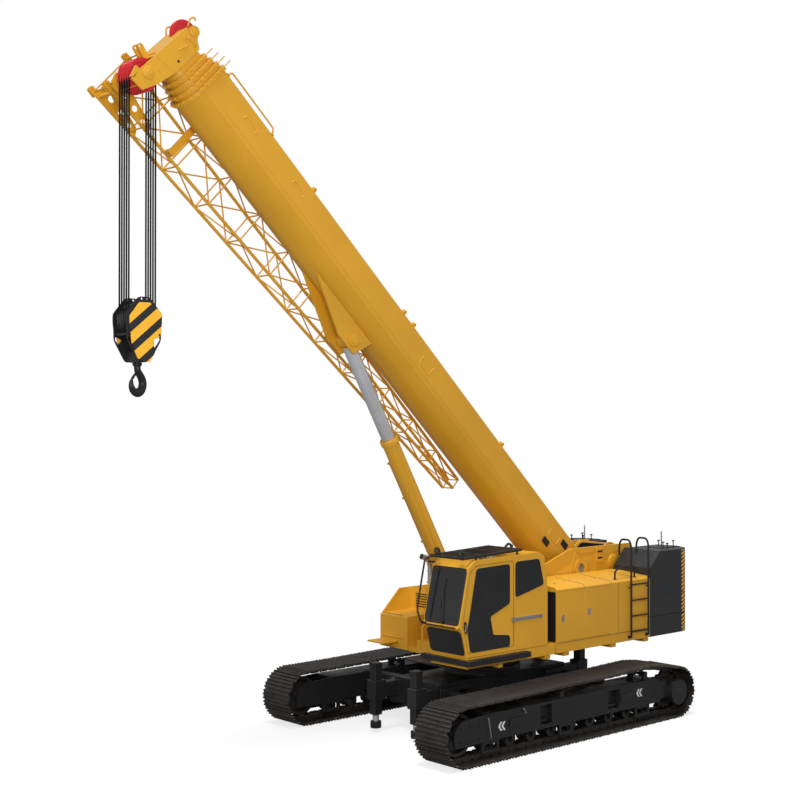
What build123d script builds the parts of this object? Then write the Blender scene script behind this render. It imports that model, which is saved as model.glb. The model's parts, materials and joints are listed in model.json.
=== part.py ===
"""Telescopic crawler crane, boom raised to 43.7 degrees. Millimetres, +X forward, +Y left, +Z up.

The origin lies on the ground under the slewing axis. Every sub-part is a function that returns its
nodes; the table at the end of each section names the columns it uses.
"""

import os
from math import atan2, cos, degrees, hypot, pi, radians, sin

from build123d import *

# clearances
SEAT = 0.3  # a fixed piece and the face that carries it
RUN = 0.3  # a pin and the bore it turns in
SLIDE = 0.4  # a wear ring and the face it slides on

# crawlers
TRACK_Y = 2000.0  # centre of one crawler
SHOE_W = 760.0
SHOES = 66
IDLER_X, IDLER_R = 2695.0, 490.0
SPROCKET_X, SPROCKET_R = -2720.0, 465.0
GROUSER_H = 26.0
LOOP_T = 128.0
WHEEL_GAP = 18.0  # wheels stay inside the loop's straight-sided inner face
FRAME_TOP = 765.0
CARRIER_R = 50.0
ROLLER_R = 96.0
ROLLER_Z = LOOP_T + ROLLER_R + SEAT  # rollers rest on the ground run
TOP_RUN = [  # x, z of the grouser tips over the carrier rollers and the sag between them
    (1750.0, 985.0),
    (300.0, 1012.0),
    (-800.0, 1015.0),
    (-1960.0, 1046.0),
    (-2350.0, 1005.0),
]

# undercarriage centre
BEAM_W, BEAM_H, BEAM_Z = 220.0, 290.0, 640.0
BEAM_INNER, BEAM_OUTER = 1450.0, 1150.0
CROSS_HALF_Y = 700.0
RING_R, DECK_Z = 640.0, 1250.0

# upper structure
HALF_W = 1500.0
SIDE_Z0 = 1330.0
PLATE_IN, PLATE_OUT = 500.0, 550.0
DECK_FRONT = 1100.0
LEFT_X0, LEFT_X1, LEFT_Z1 = -356.0, -2988.0, 2480.0
CW_X0, CW_X1 = -2992.0, -4340.0
CW_TOP, CW_R = 2930.0, 370.0

# boom
BOOM_DEG = 43.7
PIVOT_X, PIVOT_Z = -2100.0, 2620.0
PIN_R = 90.0
STEP_IN = 28.0  # each section is this much smaller all round than the one outside it
BOOM_HALF, BOOM_UP, BOOM_DOWN = 370.0, 366.0, 463.0
BOOM_FRONT = 11470.0
COLLAR_L, COLLAR_STEP, COLLAR_T = 70.0, 100.0, 26.0
HEAD_HALF_Y = 300.0
HEAD_AT = 11470.0  # front end of the base section for which the head's places below hold
HEAD_DX = (BOOM_FRONT - HEAD_AT) * cos(radians(BOOM_DEG))
HEAD_DZ = (BOOM_FRONT - HEAD_AT) * sin(radians(BOOM_DEG))
HEAD_AXIS = (7190.0 + HEAD_DX, 10500.0 + HEAD_DZ)
GUIDE_AXIS = (6400.0 + HEAD_DX, 11250.0 + HEAD_DZ)
GUIDE_BORE = 40.0
SHEAVE_PITCH_R, SHEAVE_R, SHEAVE_STEP, ROPE_R = 222.5, 250.0, 66.0, 11.0

# lift cylinder
FOOT_X, FOOT_Z = 370.0, 1750.0
EYE_U, EYE_W = 6700.0, -665.0
TUBE_R, ROD_R, TUBE_L, ROD_L = 145.0, 117.0, 3869.0, 3811.0

# hook block
BLOCK_AXIS_Z = 6915.0
HOOK_R, HOOK_TURN = 48.0, 22.0


def blk(x0, x1, y0, y1, z0, z1):
    """Box between two corners."""
    lo = (min(x0, x1), min(y0, y1), min(z0, z1))
    size = (abs(x1 - x0), abs(y1 - y0), abs(z1 - z0))
    return Pos(*lo) * Box(*size, align=(Align.MIN, Align.MIN, Align.MIN))


def slab(points, axis, a, b):
    """Polygon of two coordinates pulled straight from a to b along the third axis."""
    a, b = min(a, b), max(a, b)
    place = {
        "X": lambda u, v: (a, u, v),
        "Y": lambda u, v: (u, a, v),
        "Z": lambda u, v: (u, v, a),
    }[axis]
    way = {"X": (1, 0, 0), "Y": (0, 1, 0), "Z": (0, 0, 1)}[axis]
    face = Face(Wire.make_polygon([place(u, v) for u, v in points], close=True))
    return Part() + Solid.extrude(face, Vector(*way) * (b - a))


def drum(x, z, r, y0, y1):
    """Cylinder along Y."""
    y0, y1 = min(y0, y1), max(y0, y1)
    place = Pos(x, y0, z) * Rot(-90, 0, 0)
    return place * Cylinder(r, y1 - y0, align=(Align.CENTER, Align.CENTER, Align.MIN))


def post(x, y, r, z0, z1):
    """Cylinder along Z."""
    return Pos(x, y, z0) * Cylinder(r, z1 - z0, align=(Align.CENTER, Align.CENTER, Align.MIN))


def stick(p, q, w):
    """Square bar of width w between two points."""
    p, q = Vector(*p), Vector(*q)
    d = q - p
    side = Vector(0, 0, 1) if abs(d.normalized().Z) < 0.9 else Vector(1, 0, 0)
    plane = Plane(origin=p, x_dir=side.cross(d), z_dir=d)
    return plane * Box(w, w, d.length, align=(Align.CENTER, Align.CENTER, Align.MIN))


def tube(p, q, r):
    """Round bar between two points."""
    p, q = Vector(*p), Vector(*q)
    plane = Plane(origin=p, z_dir=q - p)
    return plane * Cylinder(r, (q - p).length, align=(Align.CENTER, Align.CENTER, Align.MIN))


def bent(points, w):
    """Square bar bent through a list of points; each corner is closed by a small block."""
    out = Part() + stick(points[0], points[1], w)
    for a, b in zip(points[1:], points[2:]):
        out += stick(a, b, w)
        out += Pos(*a) * Box(w, w, w)
    return out


# Crawlers


def loop_path():
    """Fine closed polyline of the grouser tips, running forward along the top."""
    pts = []
    steps = 24
    for i in range(steps + 1):
        t = radians(90 - 180 * i / steps)
        pts.append((IDLER_X + IDLER_R * cos(t), IDLER_R + IDLER_R * sin(t)))
    for i in range(steps + 1):
        t = radians(-90 - 180 * i / steps)
        pts.append((SPROCKET_X + SPROCKET_R * cos(t), SPROCKET_R + SPROCKET_R * sin(t)))
    for x, z in reversed(TOP_RUN):
        pts.append((x, z))
    return pts


def along(pts, s):
    """Point and outward normal at length s of the closed polyline."""
    n = len(pts)
    total = sum(hypot(pts[(i + 1) % n][0] - pts[i][0], pts[(i + 1) % n][1] - pts[i][1]) for i in range(n))
    s = s % total
    for i in range(n):
        a, b = pts[i], pts[(i + 1) % n]
        d = hypot(b[0] - a[0], b[1] - a[1])
        if s <= d and d > 0:
            t = s / d
            tx, tz = (b[0] - a[0]) / d, (b[1] - a[1]) / d
            return (a[0] + (b[0] - a[0]) * t, a[1] + (b[1] - a[1]) * t), (-tz, tx), total
        s -= d
    return pts[0], (0, 1), total


def track_loop(y):
    path = loop_path()
    total = along(path, 0)[2]
    pitch = total / SHOES
    outer, inner = [], []
    for i in range(SHOES):
        for k, h in enumerate((GROUSER_H, 0.0, GROUSER_H, 0.0, GROUSER_H, 0.0)):
            (x, z), (nx, nz), _ = along(path, (i + k / 6.0) * pitch)
            outer.append((x - nx * h, z - nz * h))
        (x, z), (nx, nz), _ = along(path, i * pitch)
        inner.append((x - nx * LOOP_T, z - nz * LOOP_T))
    band = slab(outer, "Y", y - SHOE_W / 2, y + SHOE_W / 2)
    return band - slab(inner, "Y", y - SHOE_W / 2 - 5, y + SHOE_W / 2 + 5)


POCKETS = [(630, 915), (-1150, -825)]  # rear and front edge of each opening in the side beam
GUARDS = [(1893, 2285), (100, 441), (-1986, -1575)]  # rear and front edge of each roller guard


def track_frame(side):
    """Side beam with pockets, nose plates round the idler, roller guards and the two sliding beams."""
    y = side * TRACK_Y
    beam = [(-2295, 334), (2070, 334), (2070, FRAME_TOP), (-2200, FRAME_TOP), (-2295, 690)]
    body = slab(beam, "Y", y - 258, y + 258)
    nose = [(2060, 334), (2860, 318), (2897, 360), (2897, 560), (2835, 650), (2690, 735), (2060, FRAME_TOP)]
    tail = [(-2290, 380), (-2560, 400), (-2600, 440), (-2600, 560), (-2550, 600), (-2290, 640)]
    for a, b in ((-258, -228), (228, 258)):
        body += slab(nose, "Y", y + a, y + b)
        body += slab(tail, "Y", y + a, y + b)
    body += blk(2060, 2300, y - 100, y + 100, 400, 600)
    for x0, x1 in POCKETS:
        body -= blk(x0, x1, y + side * 140, y + side * 270, 400, 720)
        body += blk(x0 + 40, x1 - 40, y + side * 130, y + side * 200, 430, 470)
    for x0, x1 in GUARDS:
        for s in (1, -1):
            guard = blk(x0, x1, y + s * 200, y + s * 256, 150, 340)
            guard -= blk(x0 + 55, x1 - 55, y + s * 190, y + s * 270, 200, 290)
            body += guard
    for x in (-1330, 1500):
        body += blk(x - 160, x + 160, y + side * 250, y + side * 276, 480, 620)
    inner_x = (BEAM_INNER, -BEAM_OUTER) if side > 0 else (BEAM_OUTER, -BEAM_INNER)
    for x in inner_x:
        z0, z1 = BEAM_Z - BEAM_H / 2, BEAM_Z + BEAM_H / 2
        body += blk(x - BEAM_W / 2, x + BEAM_W / 2, side * 350, y - side * 200, z0, z1)
        body += blk(x - 190, x + 190, side * 1690, y - side * 240, 440, 780)
    return body


def track_parts():
    nodes = {}
    for side, tag in ((1, "left"), (-1, "right")):
        y = side * TRACK_Y
        frame = track_frame(side)
        idler_r = IDLER_R - LOOP_T - WHEEL_GAP
        sprocket_r = SPROCKET_R - LOOP_T - WHEEL_GAP
        for x, z, r in ((IDLER_X, IDLER_R, idler_r), (SPROCKET_X, SPROCKET_R, sprocket_r)):
            frame -= drum(x, z, r + 4, y - 144, y + 144)
        wheels = Part() + drum(IDLER_X, IDLER_R, idler_r, y - 140, y + 140)
        wheels += drum(IDLER_X, IDLER_R, 60, y - 228 + SEAT, y + 228 - SEAT)
        wheels += drum(SPROCKET_X, SPROCKET_R, sprocket_r, y - 140, y + 140)
        wheels += drum(SPROCKET_X, SPROCKET_R, 120, y - 200 + SEAT, y + 200 - SEAT)
        frame += drum(SPROCKET_X, SPROCKET_R, 225, y + side * 200, y + side * 372)
        frame += drum(SPROCKET_X, SPROCKET_R, 190, y - side * 200, y - side * 258)
        for s in (1, -1):
            frame += blk(-2620, SPROCKET_X, y + s * 228, y + s * 258, 400, 600)
        rollers = []
        for i in range(9):
            x = -2000 + i * 500
            rollers.append(drum(x, ROLLER_Z, ROLLER_R, y - 130, y + 130))
            frame += blk(x - 40, x + 40, y - 200, y - 136, 228, 340)
            frame += blk(x - 40, x + 40, y + 136, y + 200, 228, 340)
            rollers.append(drum(x, ROLLER_Z, 30, y - 136 + SEAT, y + 136 - SEAT))
        for x, top in ((-1960, 1046), (300, 1012)):
            z = top - LOOP_T - 8 - CARRIER_R
            rollers.append(drum(x, z, CARRIER_R, y - 120, y + 120))
            frame += blk(x - 50, x + 50, y - 190, y - 130, FRAME_TOP - 10, z + 40)
            frame += blk(x - 50, x + 50, y + 130, y + 190, FRAME_TOP - 10, z + 40)
            rollers.append(drum(x, z, 25, y - 130 + SEAT, y + 130 - SEAT))
        nodes["track_frame_" + tag] = frame
        nodes["track_loop_" + tag] = track_loop(y)
        nodes["track_wheels_" + tag] = wheels + rollers
    return nodes


# Undercarriage centre


def carbody():
    body = blk(-1630, 1630, -560, 560, 470, 900)
    body -= blk(-980, 980, -400, 400, 440, 860)
    for x0 in (980, -1620):
        body += blk(x0, x0 + 640, -CROSS_HALF_Y, CROSS_HALF_Y, 440, 850)
    gap = RUN
    for x, in ((BEAM_INNER,), (BEAM_OUTER,), (-BEAM_OUTER,), (-BEAM_INNER,)):
        body -= blk(
            x - BEAM_W / 2 - gap,
            x + BEAM_W / 2 + gap,
            -CROSS_HALF_Y - 5,
            CROSS_HALF_Y + 5,
            BEAM_Z - BEAM_H / 2 - gap,
            BEAM_Z + BEAM_H / 2 + gap,
        )
    body += post(0, 0, 700, 900, 1000)
    body += post(0, 0, RING_R, 1000, DECK_Z - SEAT)
    for sx in (1, -1):
        for sy in (1, -1):
            x, y = sx * 2100, sy * 520
            body += blk(sx * 1600, sx * 1960, y - 90, y + 90, 600, 850)
            body += blk(sx * 1950, x + sx * 110, y - 110, y + 110, 560, 900)
            body -= blk(x - 78 - SEAT, x + 78 + SEAT, y - 78 - SEAT, y + 78 + SEAT, 400, 1300)
    return body


def support_jacks():
    out = Part()
    for sx in (1, -1):
        for sy in (1, -1):
            x, y = sx * 2100, sy * 520
            out += blk(x - 78, x + 78, y - 78, y + 78, 300, 1200)
            out += post(x, y, 55, 190, 300)
            out += post(x, y, 95, 70, 190)
    return out


# Upper structure


def turntable():
    deck = blk(CW_X0 + SEAT, DECK_FRONT, -760, 760, DECK_Z, SIDE_Z0)
    deck += blk(CW_X0 + SEAT, DECK_FRONT, -PLATE_OUT, PLATE_OUT, SIDE_Z0, 1480)
    deck -= blk(-2900, 60, -430, 430, SIDE_Z0 + 30, 1500)
    profile = [
        (1000, 1400),
        (1000, 1700),
        (560, 2000),
        (-1157, 2773),
        (-1850, 3000),
        (-3600, 3000),
        (-3600, 2600),
        (-2960, 1800),
        (-2960, 1400),
    ]
    for side in (1, -1):
        deck += slab(profile, "Y", side * PLATE_IN, side * PLATE_OUT)
        deck += blk(FOOT_X - 190, FOOT_X + 190, side * 160, side * 225, 1400, FOOT_Z + 190)
    deck += blk(-3600, -3540, -PLATE_IN, PLATE_IN, 2650, 2960)
    deck += blk(-2960, -2900, -PLATE_IN, PLATE_IN, 1400, 1800)
    for side in (1, -1):
        deck += drum(PIVOT_X, PIVOT_Z, 170, side * 430, side * 572)
    deck -= drum(PIVOT_X, PIVOT_Z, PIN_R + RUN, -700, 700)
    deck -= drum(FOOT_X, FOOT_Z, 80 + RUN, -300, 300)
    # outriggers of the deck that carry the cab and the housings
    for x0, x1 in ((-700, -560), (-2000, -1860), (-2960, -2820)):
        deck += blk(x0, x1, -HALF_W + 20, HALF_W - 20, DECK_Z + 10, SIDE_Z0 - SEAT)
    for x0, x1 in ((-200, -60), (DECK_FRONT - 100, DECK_FRONT)):
        deck += blk(x0, x1, 700, HALF_W - 20, DECK_Z + 10, SIDE_Z0 - SEAT)
    return deck


def winches():
    nodes = {}
    for name, x, z in (("main_winch", -2950, 2250), ("auxiliary_winch", -3200, 2780)):
        r = 190
        body = drum(x, z, r, -330, 330)
        body += drum(x, z, r + 60, -360, -330) + drum(x, z, r + 60, 330, 360)
        body += drum(x, z, 70, -PLATE_IN + SEAT, PLATE_IN - SEAT)
        nodes[name] = body
    return nodes


def rounded_back(y_in, y_out, x0, x1, z0, z1, r):
    """Block whose outer rear corner is rounded; side sign comes from y_out."""
    side = 1 if y_out > 0 else -1
    pts = [(x0, y_in), (x0, y_out)]
    for i in range(9):
        t = radians(90 * i / 8)
        pts.append((x1 + r - r * sin(t), y_out - side * r + side * r * cos(t)))
    pts.append((x1, y_in))
    return slab(pts, "Z", z0, z1)


def counterweight():
    """Two slabs under a block with a tall wing at each side."""
    low = []
    for z0, z1 in ((SIDE_Z0, 1700), (1700 + 8, 2090)):
        piece = Part()
        for side in (1, -1):
            piece += rounded_back(0, side * HALF_W, CW_X0, CW_X1, z0, z1, CW_R)
        low.append(piece)
    slabs = low[0] + low[1] + blk(CW_X0 - 300, CW_X1 + 300, -900, 900, 1690, 1710)
    block = Part()
    for side in (1, -1):
        block += rounded_back(0, side * HALF_W, CW_X0, CW_X1, 2090 + SEAT, 2500, CW_R)
        wing = rounded_back(side * 640, side * HALF_W, CW_X0, CW_X1, 2480, CW_TOP, CW_R)
        slope = [(-2900, 2560), (-2955, 2588), (-3290, 2920), (-3290, 3100), (-2800, 3100)]
        wing -= slab(slope, "Y", side * 600, side * 1600)
        block += wing
    block -= blk(CW_X0 + 10, -3660, -PLATE_OUT - SEAT, PLATE_OUT + SEAT, 1700, 3100)
    slabs -= blk(CW_X0 + 10, -3260, -PLATE_OUT - SEAT, PLATE_OUT + SEAT, 1490, 3100)
    return slabs, block


DOORS = [  # name, side, front x, rear x, z0, z1
    ("left_door_front", 1, -400, -1106, 1520, 2400),
    ("left_door_rear", 1, -1114, -1842, 1520, 2400),
    ("right_door_front", -1, -400, -1306, 1520, 2220),
    ("right_door_rear", -1, -1314, -2300, 1520, 2220),
]
SKIN = 30.0
HINGE_GAP = 0.4
ENGINE_ROOM, TANK_ROOM = 140.0, 170.0  # free space between each inner block and the housing's wall


def door(side, xf, xr, z0, z1):
    y0, y1 = side * (HALF_W - SKIN), side * HALF_W
    g = 3.0
    return blk(xr + HINGE_GAP, xf - g, y0, y1, z0 + g, z1 - g)


def left_housing():
    roof = [(HALF_W, SIDE_Z0), (HALF_W, 2440), (HALF_W - 50, LEFT_Z1)]
    roof += [(780, 2540), (580, 2540), (580, SIDE_Z0)]
    inner = [(HALF_W - SKIN, SIDE_Z0 + 60), (HALF_W - SKIN, 2420)]
    inner += [(780, 2500), (610, 2500), (610, SIDE_Z0 + 60)]
    body = slab(roof, "X", LEFT_X0, LEFT_X1) - slab(inner, "X", LEFT_X0 - SKIN, LEFT_X1 + SKIN)
    for name, side, xf, xr, z0, z1 in DOORS:
        if side > 0:
            body -= blk(xr, xf, HALF_W - 60, HALF_W + 10, z0, z1)
    return body


def engine_housing():
    low_side = [(1140, 1270), (1140, 1850), (1100, 1870), (385, 1880), (385, 1270)]
    low = slab(low_side, "Y", -HALF_W, -760 - SEAT)
    cheek = slab([(1135, 1850), (683, 2288), (385, 2290), (385, 1850)], "Y", -HALF_W, -HALF_W + SKIN)
    roof = [(-HALF_W, SIDE_Z0), (-HALF_W, 2290), (-950, 2380), (-600, 2390), (-600, SIDE_Z0)]
    inner = [(-HALF_W + SKIN, SIDE_Z0 + 60), (-HALF_W + SKIN, 2260)]
    inner += [(-950, 2350), (-630, 2360), (-630, SIDE_Z0 + 60)]
    body = slab(roof, "X", 385, LEFT_X1) - slab(inner, "X", 385 - SKIN, LEFT_X1 + SKIN)
    body += low
    body += cheek
    for name, side, xf, xr, z0, z1 in DOORS:
        if side < 0:
            body -= blk(xr, xf, -HALF_W - 10, -HALF_W + 60, z0, z1)
    body -= blk(560, 1000, -HALF_W + SKIN, -850, 1400, 1840)
    return body


def engine_block():
    skin = -HALF_W + SKIN
    body = blk(-1900, -600, skin + ENGINE_ROOM, -760, SIDE_Z0 + 60 + SEAT, 2150)
    body += blk(-2600, -1900, skin + ENGINE_ROOM + 80, -760, SIDE_Z0 + 60 + SEAT, 1900)
    return body


def hydraulic_tank():
    skin = HALF_W - SKIN
    body = blk(-1750, -500, 700, skin - TANK_ROOM, SIDE_Z0 + 60 + SEAT, 2250)
    body += blk(-2700, -1900, 700, skin - TANK_ROOM - 50, SIDE_Z0 + 60 + SEAT, 2100)
    return body


def walkways():
    out = blk(DECK_FRONT + SEAT, 1880, -100, 1070, 1285, 1315)
    out += slab([(1150, -1450), (1500, -1450), (1500, -1000), (1150, -1000)], "Z", 1385, 1415)
    out += blk(1140 + SEAT, 1190, -1400, -1050, 1300, 1390)
    return out


def ladder_and_rails():
    out = Part()
    yl = HALF_W + 55
    for x in (-2360, -2870):
        side_rail = [(HALF_W + SEAT, 1400), (yl, 1400), (yl, 3150), (yl - 140, 3215)]
        side_rail += [(yl - 280, 3150), (yl - 280, 2900)]
        out += bent([(x, y, z) for y, z in side_rail], 38)
        out += blk(x - 15, x + 15, HALF_W + SEAT, yl, 2300, 2330)
    for z in (1500, 1790, 2080, 2370):
        out += blk(-2870, -2360, yl - 14, yl + 14, z - 14, z + 14)
    foot = LEFT_Z1 + 4.6 * 670 / (HALF_W - 830)  # the roof slopes up from its outer edge
    roof_rail = [(-2050, foot), (-2050, 2650), (-2300, 2700), (-2620, 2700), (-2620, foot)]
    out += bent([(x, HALF_W - 80, z) for x, z in roof_rail], 34)
    return out


# Cab

CAB_IN, CAB_OUT = 640.0, 1500.0
CAB_T = 45.0
CAB_PROFILE = [
    (-296, SIDE_Z0),
    (1871, SIDE_Z0),
    (1871, 1503),
    (1984, 1941),
    (2046, 2034),
    (1828, 2982),
    (1672, 3102),
    (96, 3142),
    (-30, 3060),
    (-115, 2490),
    (-115, 1510),
    (-296, 1510),
]
CAB_INNER = [
    (-60, 1560),
    (1820, 1560),
    (1930, 1955),
    (1992, 2038),
    (1782, 2955),
    (1650, 3052),
    (110, 3092),
    (20, 3030),
    (-60, 2480),
]
DOOR_GLASS = [
    (1632, 2952),
    (858, 2975),
    (859, 2332),
    (1337, 2153),
    (1260, 1817),
    (859, 1773),
    (860, 1607),
    (1778, 1609),
    (1850, 1980),
    (1800, 2160),
]
REAR_GLASS = [(692, 3000), (116, 3012), (4, 2585), (693, 2424)]
BOOM_SIDE_GLASS = [(860, 2960), (1640, 2940), (1780, 2300), (1700, 2100), (860, 2100)]
DOOR_SEAM = 750.0


def cab():
    """Shell, door and glass; each window is a hole filled by its own pane."""
    g = SEAT
    hull = slab(CAB_PROFILE, "Y", CAB_IN, CAB_OUT)
    room = slab(CAB_INNER, "Y", CAB_IN + CAB_T, CAB_OUT - CAB_T)
    shell = hull - room
    skin0 = CAB_OUT - CAB_T
    # the door is the forward part of the left wall
    door_line = [(DOOR_SEAM, 1590), (1845, 1590), (1935, 1955), (1975, 2040)]
    door_line += [(1790, 2920), (1650, 3020), (DOOR_SEAM, 3040)]
    opening = slab(door_line, "Y", skin0 - 6, CAB_OUT + 10)
    leaf = slab(shrunk(door_line, SEAT), "Y", skin0, CAB_OUT - 2)
    shell -= opening
    leaf -= slab(DOOR_GLASS, "Y", skin0 - 20, CAB_OUT + 20)
    shell -= slab(REAR_GLASS, "Y", skin0 - 20, CAB_OUT + 20)
    shell -= slab(REAR_GLASS, "Y", CAB_IN - 20, CAB_IN + CAB_T + 20)
    shell -= slab(BOOM_SIDE_GLASS, "Y", CAB_IN - 20, CAB_IN + CAB_T + 20)
    y0, y1 = CAB_IN + 70, CAB_OUT - 70
    screen_cut = slab([(1990, 2110), (2150, 2110), (2000, 2920), (1700, 2920)], "Y", y0, y1)
    lower_cut = slab([(1870, 1960), (2100, 1960), (2000, 1560), (1770, 1560)], "Y", y0, y1)
    rear_cut = blk(-200, -20, y0, y1, 2150, 2850)
    roof_cut = blk(700, 1400, y0 + 60, y1 - 60, 3000, 3200)
    panes = Part()
    for cut in (screen_cut, lower_cut, rear_cut, roof_cut):
        shell -= cut
    # panes sit in the holes, a seat clearance smaller all round
    k = g
    panes += slab(shrunk(DOOR_GLASS, k), "Y", CAB_OUT - 20, CAB_OUT - 8)
    panes += slab(shrunk(REAR_GLASS, k), "Y", CAB_OUT - 20, CAB_OUT - 8)
    panes += slab(shrunk(REAR_GLASS, k), "Y", CAB_IN + 8, CAB_IN + 20)
    panes += slab(shrunk(BOOM_SIDE_GLASS, k), "Y", CAB_IN + 8, CAB_IN + 20)
    a, b = (2046, 2034), (1828, 2982)
    panes += sloped_pane(a, b, 0.085, 0.925, y0 + k, y1 - k)
    a, b = (1871, 1503), (1984, 1941)
    panes += sloped_pane(a, b, 0.145, 0.985, y0 + k, y1 - k)
    panes += blk(-112, -100, y0 + k, y1 - k, 2150 + k, 2850 - k)
    panes += blk(700 + k, 1400 - k, y0 + 60 + k, y1 - 60 - k, 3085, 3097)
    return shell, leaf, panes


def shrunk(points, k):
    """The polygon moved inwards by k on every side."""
    n = len(points)
    following = points[1:] + points[:1]
    area = sum(p[0] * q[1] - q[0] * p[1] for p, q in zip(points, following))
    s = 1 if area > 0 else -1
    lines = []
    for i in range(n):
        (x0, y0), (x1, y1) = points[i], points[(i + 1) % n]
        d = hypot(x1 - x0, y1 - y0)
        nx, ny = -(y1 - y0) / d * s, (x1 - x0) / d * s
        lines.append((x0 + nx * k, y0 + ny * k, (x1 - x0) / d, (y1 - y0) / d))
    out = []
    for i in range(n):
        ax, ay, adx, ady = lines[i - 1]
        bx, by, bdx, bdy = lines[i]
        den = adx * bdy - ady * bdx
        if abs(den) < 1e-9:
            out.append((bx, by))
            continue
        t = ((bx - ax) * bdy - (by - ay) * bdx) / den
        out.append((ax + adx * t, ay + ady * t))
    return out


def sloped_pane(a, b, t0, t1, y0, y1):
    """Thin pane set back from the line a-b of the cab's side view, between two shares of its length."""
    dx, dz = b[0] - a[0], b[1] - a[1]
    d = hypot(dx, dz)
    nx, nz = -dz / d, dx / d
    p = (a[0] + dx * t0, a[1] + dz * t0)
    q = (a[0] + dx * t1, a[1] + dz * t1)
    quad = [
        (p[0] + nx * 6, p[1] + nz * 6),
        (q[0] + nx * 6, q[1] + nz * 6),
        (q[0] + nx * 18, q[1] + nz * 18),
        (p[0] + nx * 18, p[1] + nz * 18),
    ]
    return slab(quad, "Y", y0, y1)


def roof_guard():
    """Open grating over the front of the roof and the bent hand rail at the far front corner."""
    y0, y1 = CAB_IN + 40, CAB_OUT - 60
    out = Part()
    z = 3165
    for y in (y0, y1):
        out += stick((520, y, z + 40), (1900, y, z - 20), 36)
    for x in (520, 980, 1440, 1900):
        zz = z + 40 - (x - 520) / 1380 * 60
        out += stick((x, y0, zz), (x, y1, zz), 36)
    for i in range(1, 7):
        y = y0 + (y1 - y0) * i / 7
        out += stick((520, y, z + 40), (1900, y, z - 20), 14)
    for x in (600, 1600):
        for y in (y0, y1):
            top = 3102 + (1672 - x + 18) / 1576 * 40 + SEAT
            out += blk(x - 18, x + 18, y - 18, y + 18, top, z + 30)
    rail_line = [(1900, y0 + 20, 3140), (2000, y0 - 50, 3100), (2180, y0 - 60, 2250)]
    rail_line += [(2150, y0 + 10, 2050), (2060, y0 + 20, 2030)]
    rail = bent(rail_line, 34)
    return out + rail


def operator_chair():
    """Pedestal, cushion, tilted back with a head rest, and two arms on one cross bar."""
    out = blk(560, 940, 890, 1250, 1560 + SEAT, 1800)
    out += blk(450, 1000, 830, 1310, 1790, 1980)
    out += slab([(470, 1900), (610, 1900), (480, 2700), (340, 2700)], "Y", 860, 1280)
    out += slab([(350, 2740), (470, 2740), (440, 2900), (340, 2900)], "Y", 950, 1190)
    out += blk(380, 430, 1010, 1130, 2680, 2760)
    for y in (750, 1320):
        out += blk(520, 1050, y, y + 70, 2030, 2110)
        out += blk(540, 680, y + 8, y + 62, 1850, 2050)
    out += blk(600, 660, 765, 1375, 1850, 1890)
    return out


def exhaust_pipe():
    p = [(200, -1150, 2356.6), (200, -1150, 2700), (260, -1150, 2830), (420, -1150, 2880)]
    out = Part() + tube(p[0], p[1], 55) + tube(p[1], p[2], 55) + tube(p[2], p[3], 55)
    out += Pos(*p[1]) * Sphere(55)
    out += Pos(*p[2]) * Sphere(55)
    return out


# Boom, in its own frame: u along it from the foot pin, v to the left, w up across it

BOOM = Location(
    Plane(
        origin=(PIVOT_X, 0, PIVOT_Z),
        x_dir=(cos(radians(BOOM_DEG)), 0, sin(radians(BOOM_DEG))),
        z_dir=(-sin(radians(BOOM_DEG)), 0, cos(radians(BOOM_DEG))),
    )
)


def to_boom(x, z):
    """Boom coordinates of a point given in the machine's side view."""
    c, s = cos(radians(BOOM_DEG)), sin(radians(BOOM_DEG))
    dx, dz = x - PIVOT_X, z - PIVOT_Z
    return dx * c + dz * s, -dx * s + dz * c


def section_outline(inset):
    """Box top with small chamfers and a half-round bottom, smaller by inset all round."""
    half, up, down = BOOM_HALF - inset, BOOM_UP - inset, BOOM_DOWN - inset
    c = 40.0
    pts = [(half, up - c), (half - c, up), (-half + c, up), (-half, up - c)]
    n = 14
    for i in range(n + 1):
        t = pi * i / n
        pts.append((-half * cos(t), -down + half - half * sin(t)))
    return pts


def section_tube(inset, thick, u0, u1):
    outer = slab(section_outline(inset), "X", u0, u1)
    return outer - slab(section_outline(inset + thick), "X", u0 - 5, u1 + 5)


def boom_base():
    body = section_tube(0, 11, -200, BOOM_FRONT)
    body += section_tube(-COLLAR_T, COLLAR_T + 11, BOOM_FRONT - COLLAR_L, BOOM_FRONT)
    body += section_tube(11, STEP_IN - 11 - SLIDE, BOOM_FRONT - 260, BOOM_FRONT - 20)
    # closed foot with the pin boss
    body += slab(section_outline(0), "X", -200, -170)
    body -= drum(0, 0, PIN_R + RUN, -600, 600)
    for side in (1, -1):
        boss = drum(0, 0, 150, side * (BOOM_HALF - 11), side * 420)
        body += boss - drum(0, 0, PIN_R + RUN, side * 300, side * 450)
    # fork of the lift cylinder under the boom
    fork = [(5900, -430), (8010, -430), (EYE_U + 260, EYE_W - 170)]
    fork += [(EYE_U - 170, EYE_W - 170), (EYE_U - 330, -430)]
    for side in (1, -1):
        cheek = slab(fork, "Y", side * 150, side * 185)
        cheek += drum(EYE_U, EYE_W, 120, side * 185, side * 215)
        cheek += drum(EYE_U, EYE_W, 75, side * (128), side * 230)
        body += cheek - slab(section_outline(5), "X", 5800, 8100)
    # small lugs along the top
    for u in (3000, 6000, 6300, 9000):
        body += blk(u - 40, u + 40, BOOM_HALF - 110, BOOM_HALF - 60, BOOM_UP - 5, BOOM_UP + 70)
    return body


JIB = [  # u, inner y, outer y, w low, w high
    (12230.0, -560.0, -1000.0, -900.0, -60.0),
    (2700.0, -600.0, -860.0, -440.0, -240.0),
]
JIB_BAYS = 12
CHORD = 54.0


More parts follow.
